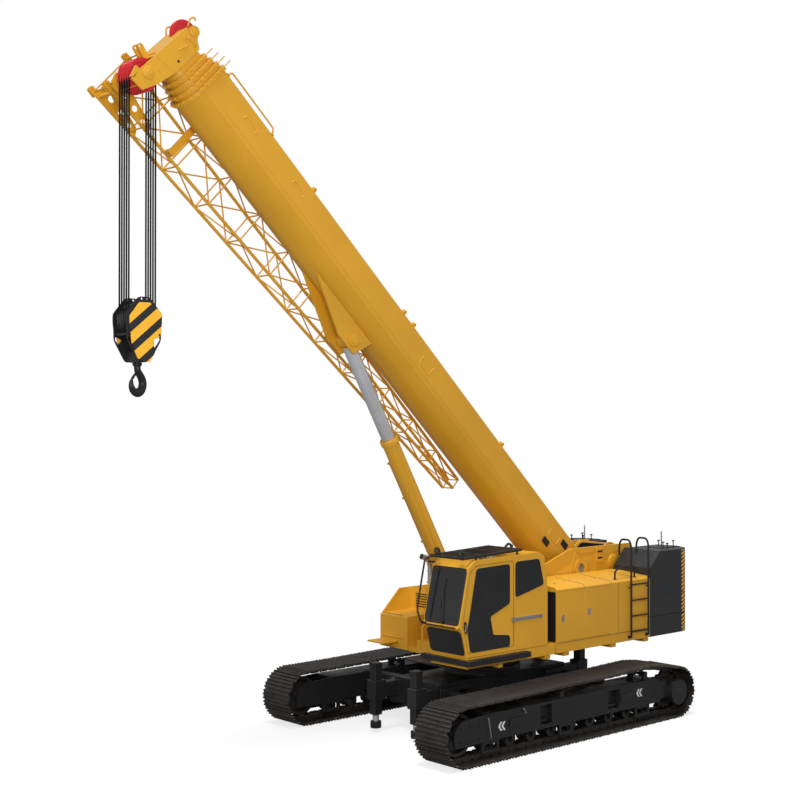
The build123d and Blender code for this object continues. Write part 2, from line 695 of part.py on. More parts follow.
def jib_brackets():
    """Plates on the boom's right side with two arms each that reach the folded jib's chords."""
    out = Part()
    for u in (6600, 10900):
        t = (JIB[0][0] - u) / (JIB[0][0] - JIB[1][0])
        _, yi, _, w0, w1 = [JIB[0][i] + (JIB[1][i] - JIB[0][i]) * t for i in range(5)]
        out += blk(u - 60, u + 60, -BOOM_HALF - SEAT, -BOOM_HALF - 30, w0 - 40, 100)
        for w in (w0, w1):
            out += blk(u - 60, u + 60, yi + CHORD / 2 + 2 * SEAT, -BOOM_HALF - 20, w - 27, w + 27)
    return out


def inner_section(k, rear):
    """Section k of the telescope, counted from the base section as 1."""
    inset = STEP_IN * (k - 1)
    front = BOOM_FRONT + COLLAR_STEP * (k - 1)
    t = 9.0
    body = section_tube(inset, t, rear, front)
    body += section_tube(inset - COLLAR_T + 4, COLLAR_T - 4 + t, front - COLLAR_L, front)
    body += section_tube(inset + t, STEP_IN - t - SLIDE, front - 240, front - 20)
    body += section_tube(inset - STEP_IN + 11 + SLIDE, STEP_IN - 11 - SLIDE + t, rear, rear + 160)
    return body


HEAD_PLATE = [
    (6534, 11286),
    (7355, 10511),
    (7473, 10369),
    (7288, 10233),
    (7035, 10358),
    (6724, 10579),
    (6314, 11008),
    (6369, 11231),
]


def boom_head():
    k = 5
    inset = STEP_IN * (k - 1)
    front = BOOM_FRONT + COLLAR_STEP * (k - 1)
    body = section_tube(inset, 9, 1100, front + 20)
    body += section_tube(inset - STEP_IN + 11 + SLIDE, STEP_IN - 11 - SLIDE + 9, 1100, 1260)
    body += slab(section_outline(inset), "X", front - 10, front + 20)
    outline = [(x + HEAD_DX, z + HEAD_DZ) for x, z in HEAD_PLATE]
    plate = [to_boom(x, z) for x, z in outline]
    hu, hw = to_boom(*HEAD_AXIS)
    gu, gw = to_boom(*GUIDE_AXIS)
    for side in (1, -1):
        body += slab(plate, "Y", side * 264, side * HEAD_HALF_Y)
        body += drum(gu, gw, 90, side * 264, side * HEAD_HALF_Y)
    # cover plate along the head's upper edge and the closed root behind the sheaves
    (xa, za), (xb, zb) = outline[0], outline[1]
    way = ((xb - xa) / hypot(xb - xa, zb - za), (zb - za) / hypot(xb - xa, zb - za))
    low = (way[1], -way[0])
    ends = [(0, 0), (745, 0), (745, 14), (0, 14)]
    cover = [to_boom(xa + way[0] * d + low[0] * e, za + way[1] * d + low[1] * e) for d, e in ends]
    body += slab(cover, "Y", -270, 270)
    for x, z in ((6560, 10840), (7330, 10330)):
        u, w = to_boom(x + HEAD_DX, z + HEAD_DZ)
        body += drum(u, w, 45, -270, 270)
    u0 = front
    body += blk(u0, u0 + 260, -HEAD_HALF_Y, HEAD_HALF_Y, -BOOM_DOWN + inset + 150, BOOM_UP - inset)
    body -= drum(hu, hw, SHEAVE_R + 14, -262, 262)
    body -= drum(gu, gw, 240 + 14, -60, 60)
    body += drum(gu, gw, GUIDE_BORE - RUN, -270, 270)
    body -= drum(hu, hw, 60 + RUN, -320, 320)
    return body


def sheave_stack(x, z, count, step, outer_r, pitch_r, bore):
    """Grooved wheels side by side on one hub, turned from one profile."""
    floor = pitch_r - ROPE_R - SEAT
    half = count * step / 2
    pts = [(bore, -half), (outer_r, -half)]
    for i in range(count):
        yc = (i - (count - 1) / 2) * step
        pts += [(outer_r, yc - 20), (floor, yc - 12), (floor, yc + 12), (outer_r, yc + 20)]
    pts += [(outer_r, half), (bore, half)]
    face = Face(Wire.make_polygon([(r, y, 0) for r, y in pts], close=True))
    return Pos(x, 0, z) * (Part() + Solid.revolve(face, 360, Axis.Y))


# Folded jib, in the boom's frame

def jib_corners(t):
    a, b = JIB
    u, yi, yo, w0, w1 = [a[i] + (b[i] - a[i]) * t for i in range(5)]
    return [(u, yi, w0), (u, yi, w1), (u, yo, w1), (u, yo, w0)]


def stowed_jib():
    out = Part()
    ends = jib_corners(0), jib_corners(1)
    for p, q in zip(*ends):
        out += stick(p, q, CHORD)
    for i in range(JIB_BAYS + 1):
        c = jib_corners(i / JIB_BAYS)
        for j in range(4):
            out += stick(c[j], c[(j + 1) % 4], 26)
        if i < JIB_BAYS:
            d = jib_corners((i + 1) / JIB_BAYS)
            for j in range(4):
                a, b = (c[j], d[(j + 1) % 4]) if i % 2 else (c[(j + 1) % 4], d[j])
                out += stick(a, b, 24)
    return out


# Lift cylinder, along its own axis from the foot pin

EYE_X = PIVOT_X + EYE_U * cos(radians(BOOM_DEG)) - EYE_W * sin(radians(BOOM_DEG))
EYE_Z = PIVOT_Z + EYE_U * sin(radians(BOOM_DEG)) + EYE_W * cos(radians(BOOM_DEG))
LIFT_L = hypot(EYE_X - FOOT_X, EYE_Z - FOOT_Z)
LIFT_DEG = degrees(atan2(EYE_Z - FOOT_Z, EYE_X - FOOT_X))
LIFT = Location(
    Plane(
        origin=(FOOT_X, 0, FOOT_Z),
        x_dir=(0, 1, 0),
        z_dir=(cos(radians(LIFT_DEG)), 0, sin(radians(LIFT_DEG))),
    )
)


def zcyl(r, z0, z1):
    return Pos(0, 0, z0) * Cylinder(r, z1 - z0, align=(Align.CENTER, Align.CENTER, Align.MIN))


def lift_cylinder():
    barrel = zcyl(TUBE_R, 140, TUBE_L) - zcyl(ROD_R + 12, 200, TUBE_L - 60)
    barrel -= zcyl(ROD_R + RUN, TUBE_L - 100, TUBE_L + 5)
    barrel += zcyl(TUBE_R + 12, TUBE_L - 120, TUBE_L - 20) - zcyl(TUBE_R - 5, TUBE_L - 130, TUBE_L)
    lug = Rot(0, 90, 0) * Cylinder(150, 312)
    barrel += lug + Pos(0, 0, 120) * Box(240, 230, 120)
    barrel -= Rot(0, 90, 0) * Cylinder(80 + RUN, 400)
    eye = LIFT_L
    start = eye - ROD_L
    piston = zcyl(ROD_R + 12 - SLIDE, start, start + 120) - zcyl(40 + RUN, start - 5, start + 130)
    rod = zcyl(ROD_R, start + 130, eye - 110) + zcyl(40, start - 3, start + 135)
    rod += Pos(0, 0, eye) * Rot(0, 90, 0) * Cylinder(125, 236)
    return LIFT * barrel, LIFT * piston, LIFT * rod


# Hoist rope, block and hook


def hoist_falls():
    out = []
    for x in (HEAD_AXIS[0] - SHEAVE_PITCH_R, HEAD_AXIS[0] + SHEAVE_PITCH_R):
        for i in range(5):
            y = (i - 2) * SHEAVE_STEP
            out.append(post(x, y, ROPE_R, BLOCK_AXIS_Z + 2, HEAD_AXIS[1] - 2))
    return Part() + out


CHEEK = [  # distance from the block's middle, height over the sheave axis
    (-92, 330),
    (92, 330),
    (300, 85),
    (300, -45),
    (285, -160),
    (285, -300),
    (95, -622),
    (-95, -622),
    (-285, -300),
    (-285, -160),
    (-300, -45),
    (-300, 85),
]
STRAP_HOLE = [(163, -290), (262, -252), (266, -300), (163, -440)]
COVER = [
    (-88, 248),
    (88, 245),
    (250, 40),
    (250, -95),
    (215, -360),
    (118, -573),
    (0, -625),
    (-90, -622),
    (-182, -467),
    (-146, -358),
    (-146, -297),
    (-280, -231),
    (-284, 52),
    (-294, 101),
]


def hook_block():
    x0 = HEAD_AXIS[0]
    out = Part()
    for side in (1, -1):
        out += slab([(x0 + u, BLOCK_AXIS_Z + w) for u, w in CHEEK], "Y", side * 176, side * 196)
        for way in (1, -1):
            hole = [(x0 + way * u, BLOCK_AXIS_Z + w) for u, w in STRAP_HOLE]
            out -= slab(hole, "Y", side * 170, side * 200)
        out += slab([(x0 + u, BLOCK_AXIS_Z + w) for u, w in COVER], "Y", side * 195, side * 212)
        out += drum(x0, BLOCK_AXIS_Z, 62, side * 200, side * 232)
        for u in (-40, 40):
            out -= drum(x0 + u, BLOCK_AXIS_Z + 300, 18, -300, 300)
    low = BLOCK_AXIS_Z - 622
    out += blk(x0 - 88, x0 + 88, -180, 180, low, low + 150)
    for u in (-250, 250):
        out += blk(x0 + u - 18, x0 + u + 18, -180, 180, BLOCK_AXIS_Z - 240, BLOCK_AXIS_Z - 204)
    out += drum(x0, BLOCK_AXIS_Z, 50, -200, 200)
    out -= post(x0, 0, HOOK_R + RUN, low - 10, low + 160)
    return out


def hook():
    """Forged single hook: round shank, tapered neck, thick bowl and a tip that leaves the throat open."""
    x0, low = HEAD_AXIS[0], BLOCK_AXIS_Z - 622
    bowl_z = low - 325
    half = 52.0
    bowl = drum(-12, bowl_z, 192, -half, half)
    front = [(-58, low - 30), (58, low - 30), (40, bowl_z + 170), (-40, bowl_z + 110), (-190, bowl_z + 40)]
    back = [(-58, low - 30), (40, bowl_z + 170), (-20, bowl_z + 40), (-204, bowl_z)]
    neck = slab(front, "Y", -half, half) + slab(back, "Y", -half, half)
    body = bowl + neck
    body -= drum(28, bowl_z + 38, 84, -80, 80)
    throat = [(28, 38), (110, 38), (170, 60), (260, 80), (260, 250), (60, 165), (28, 122)]
    body -= slab([(u, bowl_z + w) for u, w in throat], "Y", -80, 80)
    body = body + post(0, 0, 70, low - 60, low - 12)
    body += post(0, 0, HOOK_R, low - 20, low + 180) + post(0, 0, 80, low + 151, low + 190)
    return Pos(x0, 0, 0) * Rot(0, 0, HOOK_TURN) * body


def build():
    nodes = {}
    nodes["carbody"] = carbody()
    nodes["support_jacks"] = support_jacks()
    nodes.update(track_parts())
    nodes["turntable"] = turntable()
    nodes.update(winches())
    nodes["counterweight_slabs"], nodes["counterweight_block"] = counterweight()
    nodes["left_housing"] = left_housing()
    nodes["engine_housing"] = engine_housing()
    nodes["engine_block"] = engine_block()
    nodes["hydraulic_tank"] = hydraulic_tank()
    for name, side, xf, xr, z0, z1 in DOORS:
        nodes[name] = door(side, xf, xr, z0, z1)
    nodes["walkways"] = walkways()
    nodes["ladder_and_rails"] = ladder_and_rails()
    nodes["cab_shell"], nodes["cab_door"], nodes["cab_glass"] = cab()
    nodes["cab_roof_guard"] = roof_guard()
    nodes["operator_chair"] = operator_chair()
    nodes["exhaust_pipe"] = exhaust_pipe()

    nodes["boom_pin"] = drum(PIVOT_X, PIVOT_Z, PIN_R, -572, 572)
    nodes["boom_base"] = BOOM * boom_base()
    nodes["jib_brackets"] = BOOM * jib_brackets()
    nodes["stowed_jib"] = BOOM * stowed_jib()
    for k, rear in ((2, 500), (3, 700), (4, 900)):
        nodes["boom_section_%d" % k] = BOOM * inner_section(k, rear)
    nodes["boom_head"] = BOOM * boom_head()
    nodes["head_sheaves"] = sheave_stack(*HEAD_AXIS, 5, SHEAVE_STEP, SHEAVE_R, SHEAVE_PITCH_R, 60 + RUN)
    nodes["head_axle"] = drum(*HEAD_AXIS, 60, -310, 310)
    nodes["guide_sheave"] = sheave_stack(*GUIDE_AXIS, 1, SHEAVE_STEP, 240, 212, GUIDE_BORE)
    nodes["lift_foot_pin"] = drum(FOOT_X, FOOT_Z, 80, -240, 240)
    nodes["lift_tube"], nodes["lift_piston"], nodes["lift_rod"] = lift_cylinder()
    nodes["hoist_falls"] = hoist_falls()
    nodes["hook_block"] = hook_block()
    nodes["block_sheaves"] = sheave_stack(
        HEAD_AXIS[0], BLOCK_AXIS_Z, 5, SHEAVE_STEP, SHEAVE_R, SHEAVE_PITCH_R, 50 + RUN
    )
    nodes["hook"] = hook()
    return nodes


os.makedirs("parts", exist_ok=True)
for name, shape in build().items():
    export_step(shape, "parts/%s.step" % name)
    box = shape.bounding_box()
    print(name, len(shape.solids()), [round(v) for v in (*box.min, *box.max)])
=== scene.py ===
# %% [markdown]
# # Dressing a telescopic crawler crane
# The crane arrives as a frame of plain engineering solids. This lesson dresses it: edges get their
# small radii, running gear gets shoes and rollers, the lattice becomes round tube, and every surface
# gets a finish. We start an empty scene, load the frame and note the size that must not change.

import json
from math import cos, pi, radians, sin, tau

import bmesh
import bpy
import numpy as np
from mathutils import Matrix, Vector
from mathutils.geometry import tessellate_polygon

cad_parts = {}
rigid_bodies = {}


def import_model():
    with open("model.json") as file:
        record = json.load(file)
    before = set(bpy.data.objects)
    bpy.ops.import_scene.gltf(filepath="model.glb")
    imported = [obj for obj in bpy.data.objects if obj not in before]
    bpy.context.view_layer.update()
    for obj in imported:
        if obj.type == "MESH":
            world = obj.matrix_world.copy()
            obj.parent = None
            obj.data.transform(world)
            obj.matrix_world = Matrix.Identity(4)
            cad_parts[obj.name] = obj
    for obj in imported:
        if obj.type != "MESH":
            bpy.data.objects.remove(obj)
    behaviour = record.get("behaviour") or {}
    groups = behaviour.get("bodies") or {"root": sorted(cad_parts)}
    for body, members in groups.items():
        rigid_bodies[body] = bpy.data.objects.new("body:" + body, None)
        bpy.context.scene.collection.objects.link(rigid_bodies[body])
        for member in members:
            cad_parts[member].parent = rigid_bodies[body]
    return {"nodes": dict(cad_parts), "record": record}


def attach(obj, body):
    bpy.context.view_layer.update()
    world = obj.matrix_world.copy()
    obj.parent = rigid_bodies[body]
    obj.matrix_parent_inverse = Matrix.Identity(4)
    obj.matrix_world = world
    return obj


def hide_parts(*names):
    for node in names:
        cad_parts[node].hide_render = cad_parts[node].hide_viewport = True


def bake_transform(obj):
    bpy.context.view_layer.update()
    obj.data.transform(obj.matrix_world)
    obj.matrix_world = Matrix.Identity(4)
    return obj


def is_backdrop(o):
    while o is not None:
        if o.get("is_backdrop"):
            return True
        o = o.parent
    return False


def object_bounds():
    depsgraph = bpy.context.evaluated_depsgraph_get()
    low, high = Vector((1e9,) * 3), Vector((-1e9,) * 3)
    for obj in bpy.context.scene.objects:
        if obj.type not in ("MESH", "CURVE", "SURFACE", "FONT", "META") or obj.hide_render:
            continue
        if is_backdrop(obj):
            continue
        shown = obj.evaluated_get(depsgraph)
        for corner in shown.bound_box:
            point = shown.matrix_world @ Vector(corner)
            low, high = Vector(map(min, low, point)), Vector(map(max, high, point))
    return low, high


for thing in list(bpy.data.objects):
    bpy.data.objects.remove(thing)
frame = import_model()
CAD_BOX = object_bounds()

# %% [markdown]
# ## Camera, floor and light
# The photograph looks from front left and from about five and a half metres up, through a medium
# long lens. The floor is pale and mostly glows, so it stays near white, holds a soft shadow and throws
# little light up: the belly of the machine stays dark. A broad sun from above lights the roofs, and
# one large panel up beside the boom lights its flank more than the cab, which stands further off.

# %% Camera
eye = bpy.data.cameras.new("camera")
camera = bpy.data.objects.new("camera", eye)
bpy.context.scene.collection.objects.link(camera)
camera.location = (17.582, 17.324, 5.530)
camera.rotation_euler = (radians(90.605), 0.0, radians(138.033))
eye.sensor_width, eye.lens = 36.0, 60.81
eye.clip_end = 400.0
bpy.context.scene.camera = camera
bpy.context.scene.view_settings.view_transform = "Standard"
print("camera", tuple(round(v, 2) for v in camera.location), "lens", round(eye.lens, 2), "mm")

# %% [markdown]
# ### Helpers for shader nodes
# A finish is a small graph of nodes. The graph is easier to read when each common step has a helper:
# start a material, add a node with its values, then noise, a colour ramp, a bump and a tint.


# %% Small helpers for shader nodes
def new_material(name):
    """A material with its output and one Principled shader joined up."""
    mat = bpy.data.materials.new(name)
    mat.use_nodes = True
    tree = mat.node_tree
    tree.nodes.clear()
    out = tree.nodes.new("ShaderNodeOutputMaterial")
    shader = tree.nodes.new("ShaderNodeBsdfPrincipled")
    tree.links.new(shader.outputs[0], out.inputs[0])
    return mat, tree, shader


def node(tree, kind, **values):
    """Adds a node; each value is an input socket by name or an attribute."""
    made = tree.nodes.new("ShaderNode" + kind)
    for key, value in values.items():
        socket = key.replace("_", " ")
        if socket in made.inputs:
            made.inputs[socket].default_value = value
        else:
            setattr(made, key, value)
    return made


def noise(tree, scale, detail=3.0, stretch=(1, 1, 1)):
    """Noise on object coordinates times a factor for each axis."""
    where = node(tree, "TexCoord")
    turn = node(tree, "Mapping")
    turn.inputs["Scale"].default_value = stretch
    made = node(tree, "TexNoise", Scale=scale, Detail=detail)
    tree.links.new(where.outputs["Object"], turn.inputs[0])
    tree.links.new(turn.outputs[0], made.inputs["Vector"])
    return made.outputs[0]


def ramp(tree, source, stops):
    """Colour ramp; stops are (place, rgb or grey level)."""
    made = tree.nodes.new("ShaderNodeValToRGB")
    els = made.color_ramp.elements
    while len(els) < len(stops):
        els.new(0.5)
    for el, (at, rgb) in zip(els, stops):
        el.position = at
        rgb = (rgb,) * 3 if isinstance(rgb, (int, float)) else rgb
        el.color = (*rgb, 1.0)
    tree.links.new(source, made.inputs[0])
    return made.outputs[0]


def bump(tree, shader, height, strength, distance):
    """Raises or sinks the surface a little by a grey pattern."""
    made = node(tree, "Bump", Strength=strength, Distance=distance)
    tree.links.new(height, made.inputs["Height"])
    tree.links.new(made.outputs[0], shader.inputs["Normal"])


def tint(rgb, k):
    """The colour times k, each part at most one."""
    return tuple(min(1.0, c * k) for c in rgb)


print("a lighter grey", tint((0.5, 0.5, 0.5), 1.2))


# %% Floor
FLOOR_R, FLOOR_GLOW = 70.0, 0.76


def pale_floor():
    """Part glow and part matt white: it reads near white and keeps the shadow."""
    mat = bpy.data.materials.new("pale_floor")
    mat.use_nodes = True
    tree = mat.node_tree
    tree.nodes.clear()
    out = tree.nodes.new("ShaderNodeOutputMaterial")
    mix = node(tree, "MixShader", Fac=FLOOR_GLOW)
    matt = node(tree, "BsdfDiffuse")
    matt.inputs[0].default_value = (0.93, 0.93, 0.93, 1)
    path = node(tree, "LightPath")
    glow = node(tree, "Emission")
    glow.inputs[0].default_value = (1, 1, 1, 1)
    tree.links.new(path.outputs["Is Camera Ray"], glow.inputs[1])
    tree.links.new(matt.outputs[0], mix.inputs[1])
    tree.links.new(glow.outputs[0], mix.inputs[2])
    tree.links.new(mix.outputs[0], out.inputs[0])
    return mat


ring = np.linspace(0, tau, 97)[:-1]
rim = np.stack([FLOOR_R * np.cos(ring), FLOOR_R * np.sin(ring), 0 * ring - 0.002], 1)
floor_mesh = bpy.data.meshes.new("floor")
floor_mesh.from_pydata(rim.tolist(), [], [list(range(len(ring)))])
floor = bpy.data.objects.new("floor", floor_mesh)
floor_mesh.materials.append(pale_floor())
bpy.context.scene.collection.objects.link(floor)
floor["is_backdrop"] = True
print("floor", FLOOR_R, "m")

# %% Sky
SKY_LIGHT, SKY_SEEN = 0.50, 1.0
sky = bpy.data.worlds.new("sky")
bpy.context.scene.world = sky
sky.use_nodes = True
sky_tree = sky.node_tree
sky_tree.nodes.clear()
sky_out = sky_tree.nodes.new("ShaderNodeOutputWorld")
sky_light = node(sky_tree, "Background", Color=(1, 1, 1, 1), Strength=SKY_LIGHT)
sky_seen = node(sky_tree, "Background", Color=(1, 1, 1, 1), Strength=SKY_SEEN)
sky_mix = node(sky_tree, "MixShader")
sky_path = node(sky_tree, "LightPath")
sky_tree.links.new(sky_path.outputs["Is Camera Ray"], sky_mix.inputs[0])
sky_tree.links.new(sky_light.outputs[0], sky_mix.inputs[1])
sky_tree.links.new(sky_seen.outputs[0], sky_mix.inputs[2])
sky_tree.links.new(sky_mix.outputs[0], sky_out.inputs[0])
print("sky", SKY_LIGHT)


# %% Lights
def lamp(name, energy, direction, angle):
    """A sun that shines along a direction; a wide angle gives soft edges."""
    data = bpy.data.lights.new(name, "SUN")
    data.energy, data.angle = energy, radians(angle)
    made = bpy.data.objects.new(name, data)
    made.rotation_euler = Vector(direction).to_track_quat("-Z", "Y").to_euler()
    bpy.context.scene.collection.objects.link(made)


def panel(name, power, place, target, size):
    """A square area light; its light falls off with the square of the distance."""
    data = bpy.data.lights.new(name, "AREA")
    data.energy, data.size = power, size
    made = bpy.data.objects.new(name, data)
    made.location = place
    made.rotation_euler = (Vector(target) - Vector(place)).to_track_quat("-Z", "Y").to_euler()
    bpy.context.scene.collection.objects.link(made)


lamp("high_sun", 2.3, (-0.22, -0.12, -1.0), 14)
panel("boom_panel", 1150.0, (13.0, 12.0, 8.0), (2.5, 0.4, 7.0), 5.0)

# %% [markdown]
# ## Finishes
# Crane paint is sprayed enamel: one strong colour, a fine orange-peel skin, faint cloudiness from
# sun and washing, and dust where it lies flat. Each finish is a small recipe of noise on object
# coordinates, so it stays fixed to the steel and needs no picture.


# %% Paint
DUST = (0.42, 0.38, 0.32)


def orange_peel(tree, shader):
    """The fine dimples that sprayed enamel dries with."""
    bump(tree, shader, noise(tree, 260.0, 2.0), 0.05, 0.002)


def paint(name, rgb, rough=0.42, cloud=0.07, coat=0.10, dust=0.08):
    """Colour = base times a cloud of noise, mixed with dust where the surface faces up."""
    mat, tree, shader = new_material(name)
    cloudy = noise(tree, 0.9, 4.0)
    tone = ramp(tree, cloudy, [(0.25, tint(rgb, 1 - cloud)), (0.75, tint(rgb, 1 + cloud))])
    facing = node(tree, "NewGeometry")
    parts = node(tree, "SeparateXYZ")
    tree.links.new(facing.outputs["Normal"], parts.inputs[0])
    speck = ramp(tree, noise(tree, 3.2, 6.0), [(0.45, 0.0), (0.75, 1.0)])
    up = ramp(tree, parts.outputs[2], [(0.5, 0.0), (1.0, dust)])
    amount = node(tree, "Math", operation="MULTIPLY")
    tree.links.new(speck, amount.inputs[0])
    tree.links.new(up, amount.inputs[1])
    mixed = node(tree, "MixRGB")
    mixed.inputs[2].default_value = (*DUST, 1)
    tree.links.new(amount.outputs[0], mixed.inputs[0])
    tree.links.new(tone, mixed.inputs[1])
    tree.links.new(mixed.outputs[0], shader.inputs["Base Color"])
    sheen = ramp(tree, noise(tree, 2.3, 5.0), [(0.3, rough - 0.05), (0.7, rough + 0.09)])
    tree.links.new(sheen, shader.inputs["Roughness"])
    orange_peel(tree, shader)
    shader.inputs["Coat Weight"].default_value = coat
    shader.inputs["Coat Roughness"].default_value = 0.18
    shader.inputs["Specular IOR Level"].default_value = 0.35
    return mat


yellow = paint("crane_yellow", (0.74, 0.37, 0.022))
frame_black = paint("frame_black", (0.014, 0.014, 0.015), rough=0.45, cloud=0.25, coat=0.05, dust=0.16)
# Black trim paint, which also paints the shade in slots, openings, a handle recess and the gap behind the
# cab.
black_trim_and_shade = paint("black_trim_and_shade", (0.012, 0.012, 0.013), cloud=0.15, coat=0.08, dust=0.05)
weight_grey = paint("weight_grey", (0.022, 0.023, 0.025), rough=0.5, cloud=0.12, coat=0.03, dust=0.10)
sheave_red = paint("sheave_red", (0.62, 0.02, 0.03), rough=0.35, cloud=0.08, coat=0.2, dust=0.04)
engine_paint = paint("engine_paint", (0.30, 0.31, 0.32), rough=0.5)
mark_white = paint("mark_white", (0.82, 0.82, 0.82), rough=0.5, cloud=0.03, dust=0.05)
print("paints", 7)

# %% [markdown]
# ### Metals, rubber, glass, rope and cloth
# Bare metal is mostly its roughness, so fine noise in it reads as the marks of a tool. Cast shoes are
# near black with patches of rust. Rope and cloth are woven, so their patterns are waves, and the
# rope's follows its own UV map because the strands wind round it.


# %% Metals
def metal(name, rgb, rough, grain=0.06, stretch=(1, 1, 1), scale=40.0, metallic=1.0):
    """Bare or worn metal: fine noise moves its roughness and stands as faint tool marks."""
    mat, tree, shader = new_material(name)
    tone = ramp(tree, noise(tree, 1.7, 5.0), [(0.3, tint(rgb, 0.86)), (0.7, tint(rgb, 1.12))])
    tree.links.new(tone, shader.inputs["Base Color"])
    mark = noise(tree, scale, 4.0, stretch)
    sheen = ramp(tree, mark, [(0.3, max(rough - 0.1, 0.02)), (0.7, rough + 0.1)])
    tree.links.new(sheen, shader.inputs["Roughness"])
    bump(tree, shader, mark, grain, 0.002)
    shader.inputs["Metallic"].default_value = metallic
    return mat


def crawler_metal():
    """Cast shoes: near black, with brown rust where the noise is high."""
    mat, tree, shader = new_material("crawler_metal")
    tones = [(0.42, (0.030, 0.028, 0.027)), (0.62, (0.045, 0.036, 0.030)), (0.85, (0.085, 0.052, 0.028))]
    tree.links.new(ramp(tree, noise(tree, 5.0, 6.0), tones), shader.inputs["Base Color"])
    grain = noise(tree, 70.0, 5.0)
    tree.links.new(ramp(tree, grain, [(0.3, 0.34), (0.7, 0.6)]), shader.inputs["Roughness"])
    bump(tree, shader, grain, 0.25, 0.004)
    shader.inputs["Metallic"].default_value = 0.3
    return mat


crawler = crawler_metal()
rod_chrome = metal("rod_chrome", (0.66, 0.67, 0.70), 0.34, 0.02, (1, 1, 8), 20.0, metallic=0.55)
bare_steel = metal("bare_steel", (0.46, 0.46, 0.46), 0.34)
pipe_silver = metal("pipe_silver", (0.62, 0.63, 0.64), 0.28)
# Black rubber, which also paints the shade inside small holes and the exhaust's open end.
rubber_and_hole_shade = metal("rubber_and_hole_shade", (0.014, 0.014, 0.014), 0.7, 0.15, metallic=0.0)
lens = metal("lens", (0.06, 0.06, 0.065), 0.12, 0.01, metallic=0.0)
print("metals", 6)


# %% Glass, rope and cloth
def tinted_glass():
    """Dark cab glass: mostly absorbs, with a clear polished face and a trace of dust."""
    mat, tree, shader = new_material("tinted_glass")
    tones = [(0.3, (0.020, 0.021, 0.023)), (0.8, (0.034, 0.035, 0.037))]
    tree.links.new(ramp(tree, noise(tree, 2.0, 5.0), tones), shader.inputs["Base Color"])
    tree.links.new(ramp(tree, noise(tree, 6.0, 5.0), [(0.4, 0.04), (0.8, 0.12)]), shader.inputs["Roughness"])
    shader.inputs["Transmission Weight"].default_value = 0.35
    shader.inputs["Alpha"].default_value = 0.93
    shader.inputs["IOR"].default_value = 1.45
    return mat


def wire_rope():
    """Strands laid round each other: slanted bands across the rope's own UV map."""
    mat, tree, shader = new_material("wire_rope")
    where = node(tree, "TexCoord")
    strand = node(tree, "TexWave", wave_type="BANDS", bands_direction="DIAGONAL", Scale=3.0, Distortion=0.3)
    tree.links.new(where.outputs["UV"], strand.inputs["Vector"])
    tree.links.new(ramp(tree, strand.outputs[1], [(0.1, 0.004), (0.9, 0.014)]), shader.inputs["Base Color"])
    bump(tree, shader, strand.outputs[1], 0.5, 0.003)
    shader.inputs["Roughness"].default_value = 0.85
    shader.inputs["Specular IOR Level"].default_value = 0.08
    return mat


def woven_cloth():
    """Seat cloth: two crossed waves make a weave, with a soft sheen."""
    mat, tree, shader = new_material("woven_cloth")
    where = node(tree, "TexCoord")
    warp = node(tree, "TexWave", wave_type="BANDS", bands_direction="Y", Scale=160.0)
    weft = node(tree, "TexWave", wave_type="BANDS", bands_direction="Z", Scale=160.0)
    both = node(tree, "Math", operation="MULTIPLY")
    for wave, socket in ((warp, 0), (weft, 1)):
        tree.links.new(where.outputs["Object"], wave.inputs["Vector"])
        tree.links.new(wave.outputs[1], both.inputs[socket])
    tones = [(0.0, (0.020, 0.020, 0.023)), (1.0, (0.055, 0.055, 0.060))]
    tree.links.new(ramp(tree, both.outputs[0], tones), shader.inputs["Base Color"])
    bump(tree, shader, both.outputs[0], 0.4, 0.001)
    shader.inputs["Roughness"].default_value = 0.85
    shader.inputs["Sheen Weight"].default_value = 0.3
    return mat


glass = tinted_glass()
rope = wire_rope()
cloth = woven_cloth()
print("glass, rope and cloth", 3)

# %% Warning stripes
STRIPE_YELLOW, STRIPE_BLACK = (0.98, 0.50, 0.03), (0.016, 0.016, 0.018)


def striped(name, plan, pitch, slope, first, second, cut, phase=0.0):
    """Slanted bands: the fraction of (a + slope * b) / pitch + phase is below or above the cut."""
    mat, tree, shader = new_material(name)
    where = node(tree, "TexCoord")
    parts = node(tree, "SeparateXYZ")
    tree.links.new(where.outputs["UV" if plan == "UV" else "Object"], parts.inputs[0])
    a, b = {"XZ": (0, 2), "UV": (0, 1)}[plan]
    lean = node(tree, "Math", operation="MULTIPLY_ADD")
    lean.inputs[1].default_value = slope
    tree.links.new(parts.outputs[b], lean.inputs[0])
    tree.links.new(parts.outputs[a], lean.inputs[2])
    share = node(tree, "Math", operation="MULTIPLY_ADD")
    share.inputs[1].default_value = 1.0 / pitch
    share.inputs[2].default_value = phase
    tree.links.new(lean.outputs[0], share.inputs[0])
    rest = node(tree, "Math", operation="FLOORED_MODULO")
    rest.inputs[1].default_value = 1.0
    tree.links.new(share.outputs[0], rest.inputs[0])
    bands = ramp(tree, rest.outputs[0], [(0.0, first), (cut, second)])
    bands.node.color_ramp.interpolation = "CONSTANT"
    wear = ramp(tree, noise(tree, 8.0, 6.0), [(0.3, 0.92), (0.7, 1.0)])
    mixed = node(tree, "MixRGB", blend_type="MULTIPLY")
    mixed.inputs[0].default_value = 1.0
    tree.links.new(bands, mixed.inputs[1])
    tree.links.new(wear, mixed.inputs[2])
    tree.links.new(mixed.outputs[0], shader.inputs["Base Color"])
    orange_peel(tree, shader)
    shader.inputs["Roughness"].default_value = 0.4
    return mat


hazard = striped("hazard_band", "UV", 0.197, -2.63, STRIPE_YELLOW, STRIPE_BLACK, 0.55)
block_stripes = striped("block_stripes", "XZ", 0.390, 1.215, STRIPE_BLACK, STRIPE_YELLOW, 0.43, phase=0.03)
print("stripes", 2, "materials in the file", len(bpy.data.materials))

# %% [markdown]
# ## Surfaces by formula
# Every new piece is a surface worked out for a whole grid of points at once. A solid here is a pair:
# an array of points and a list of face arrays. Solids can be joined, moved and copied as arrays
# before one mesh is made of them.


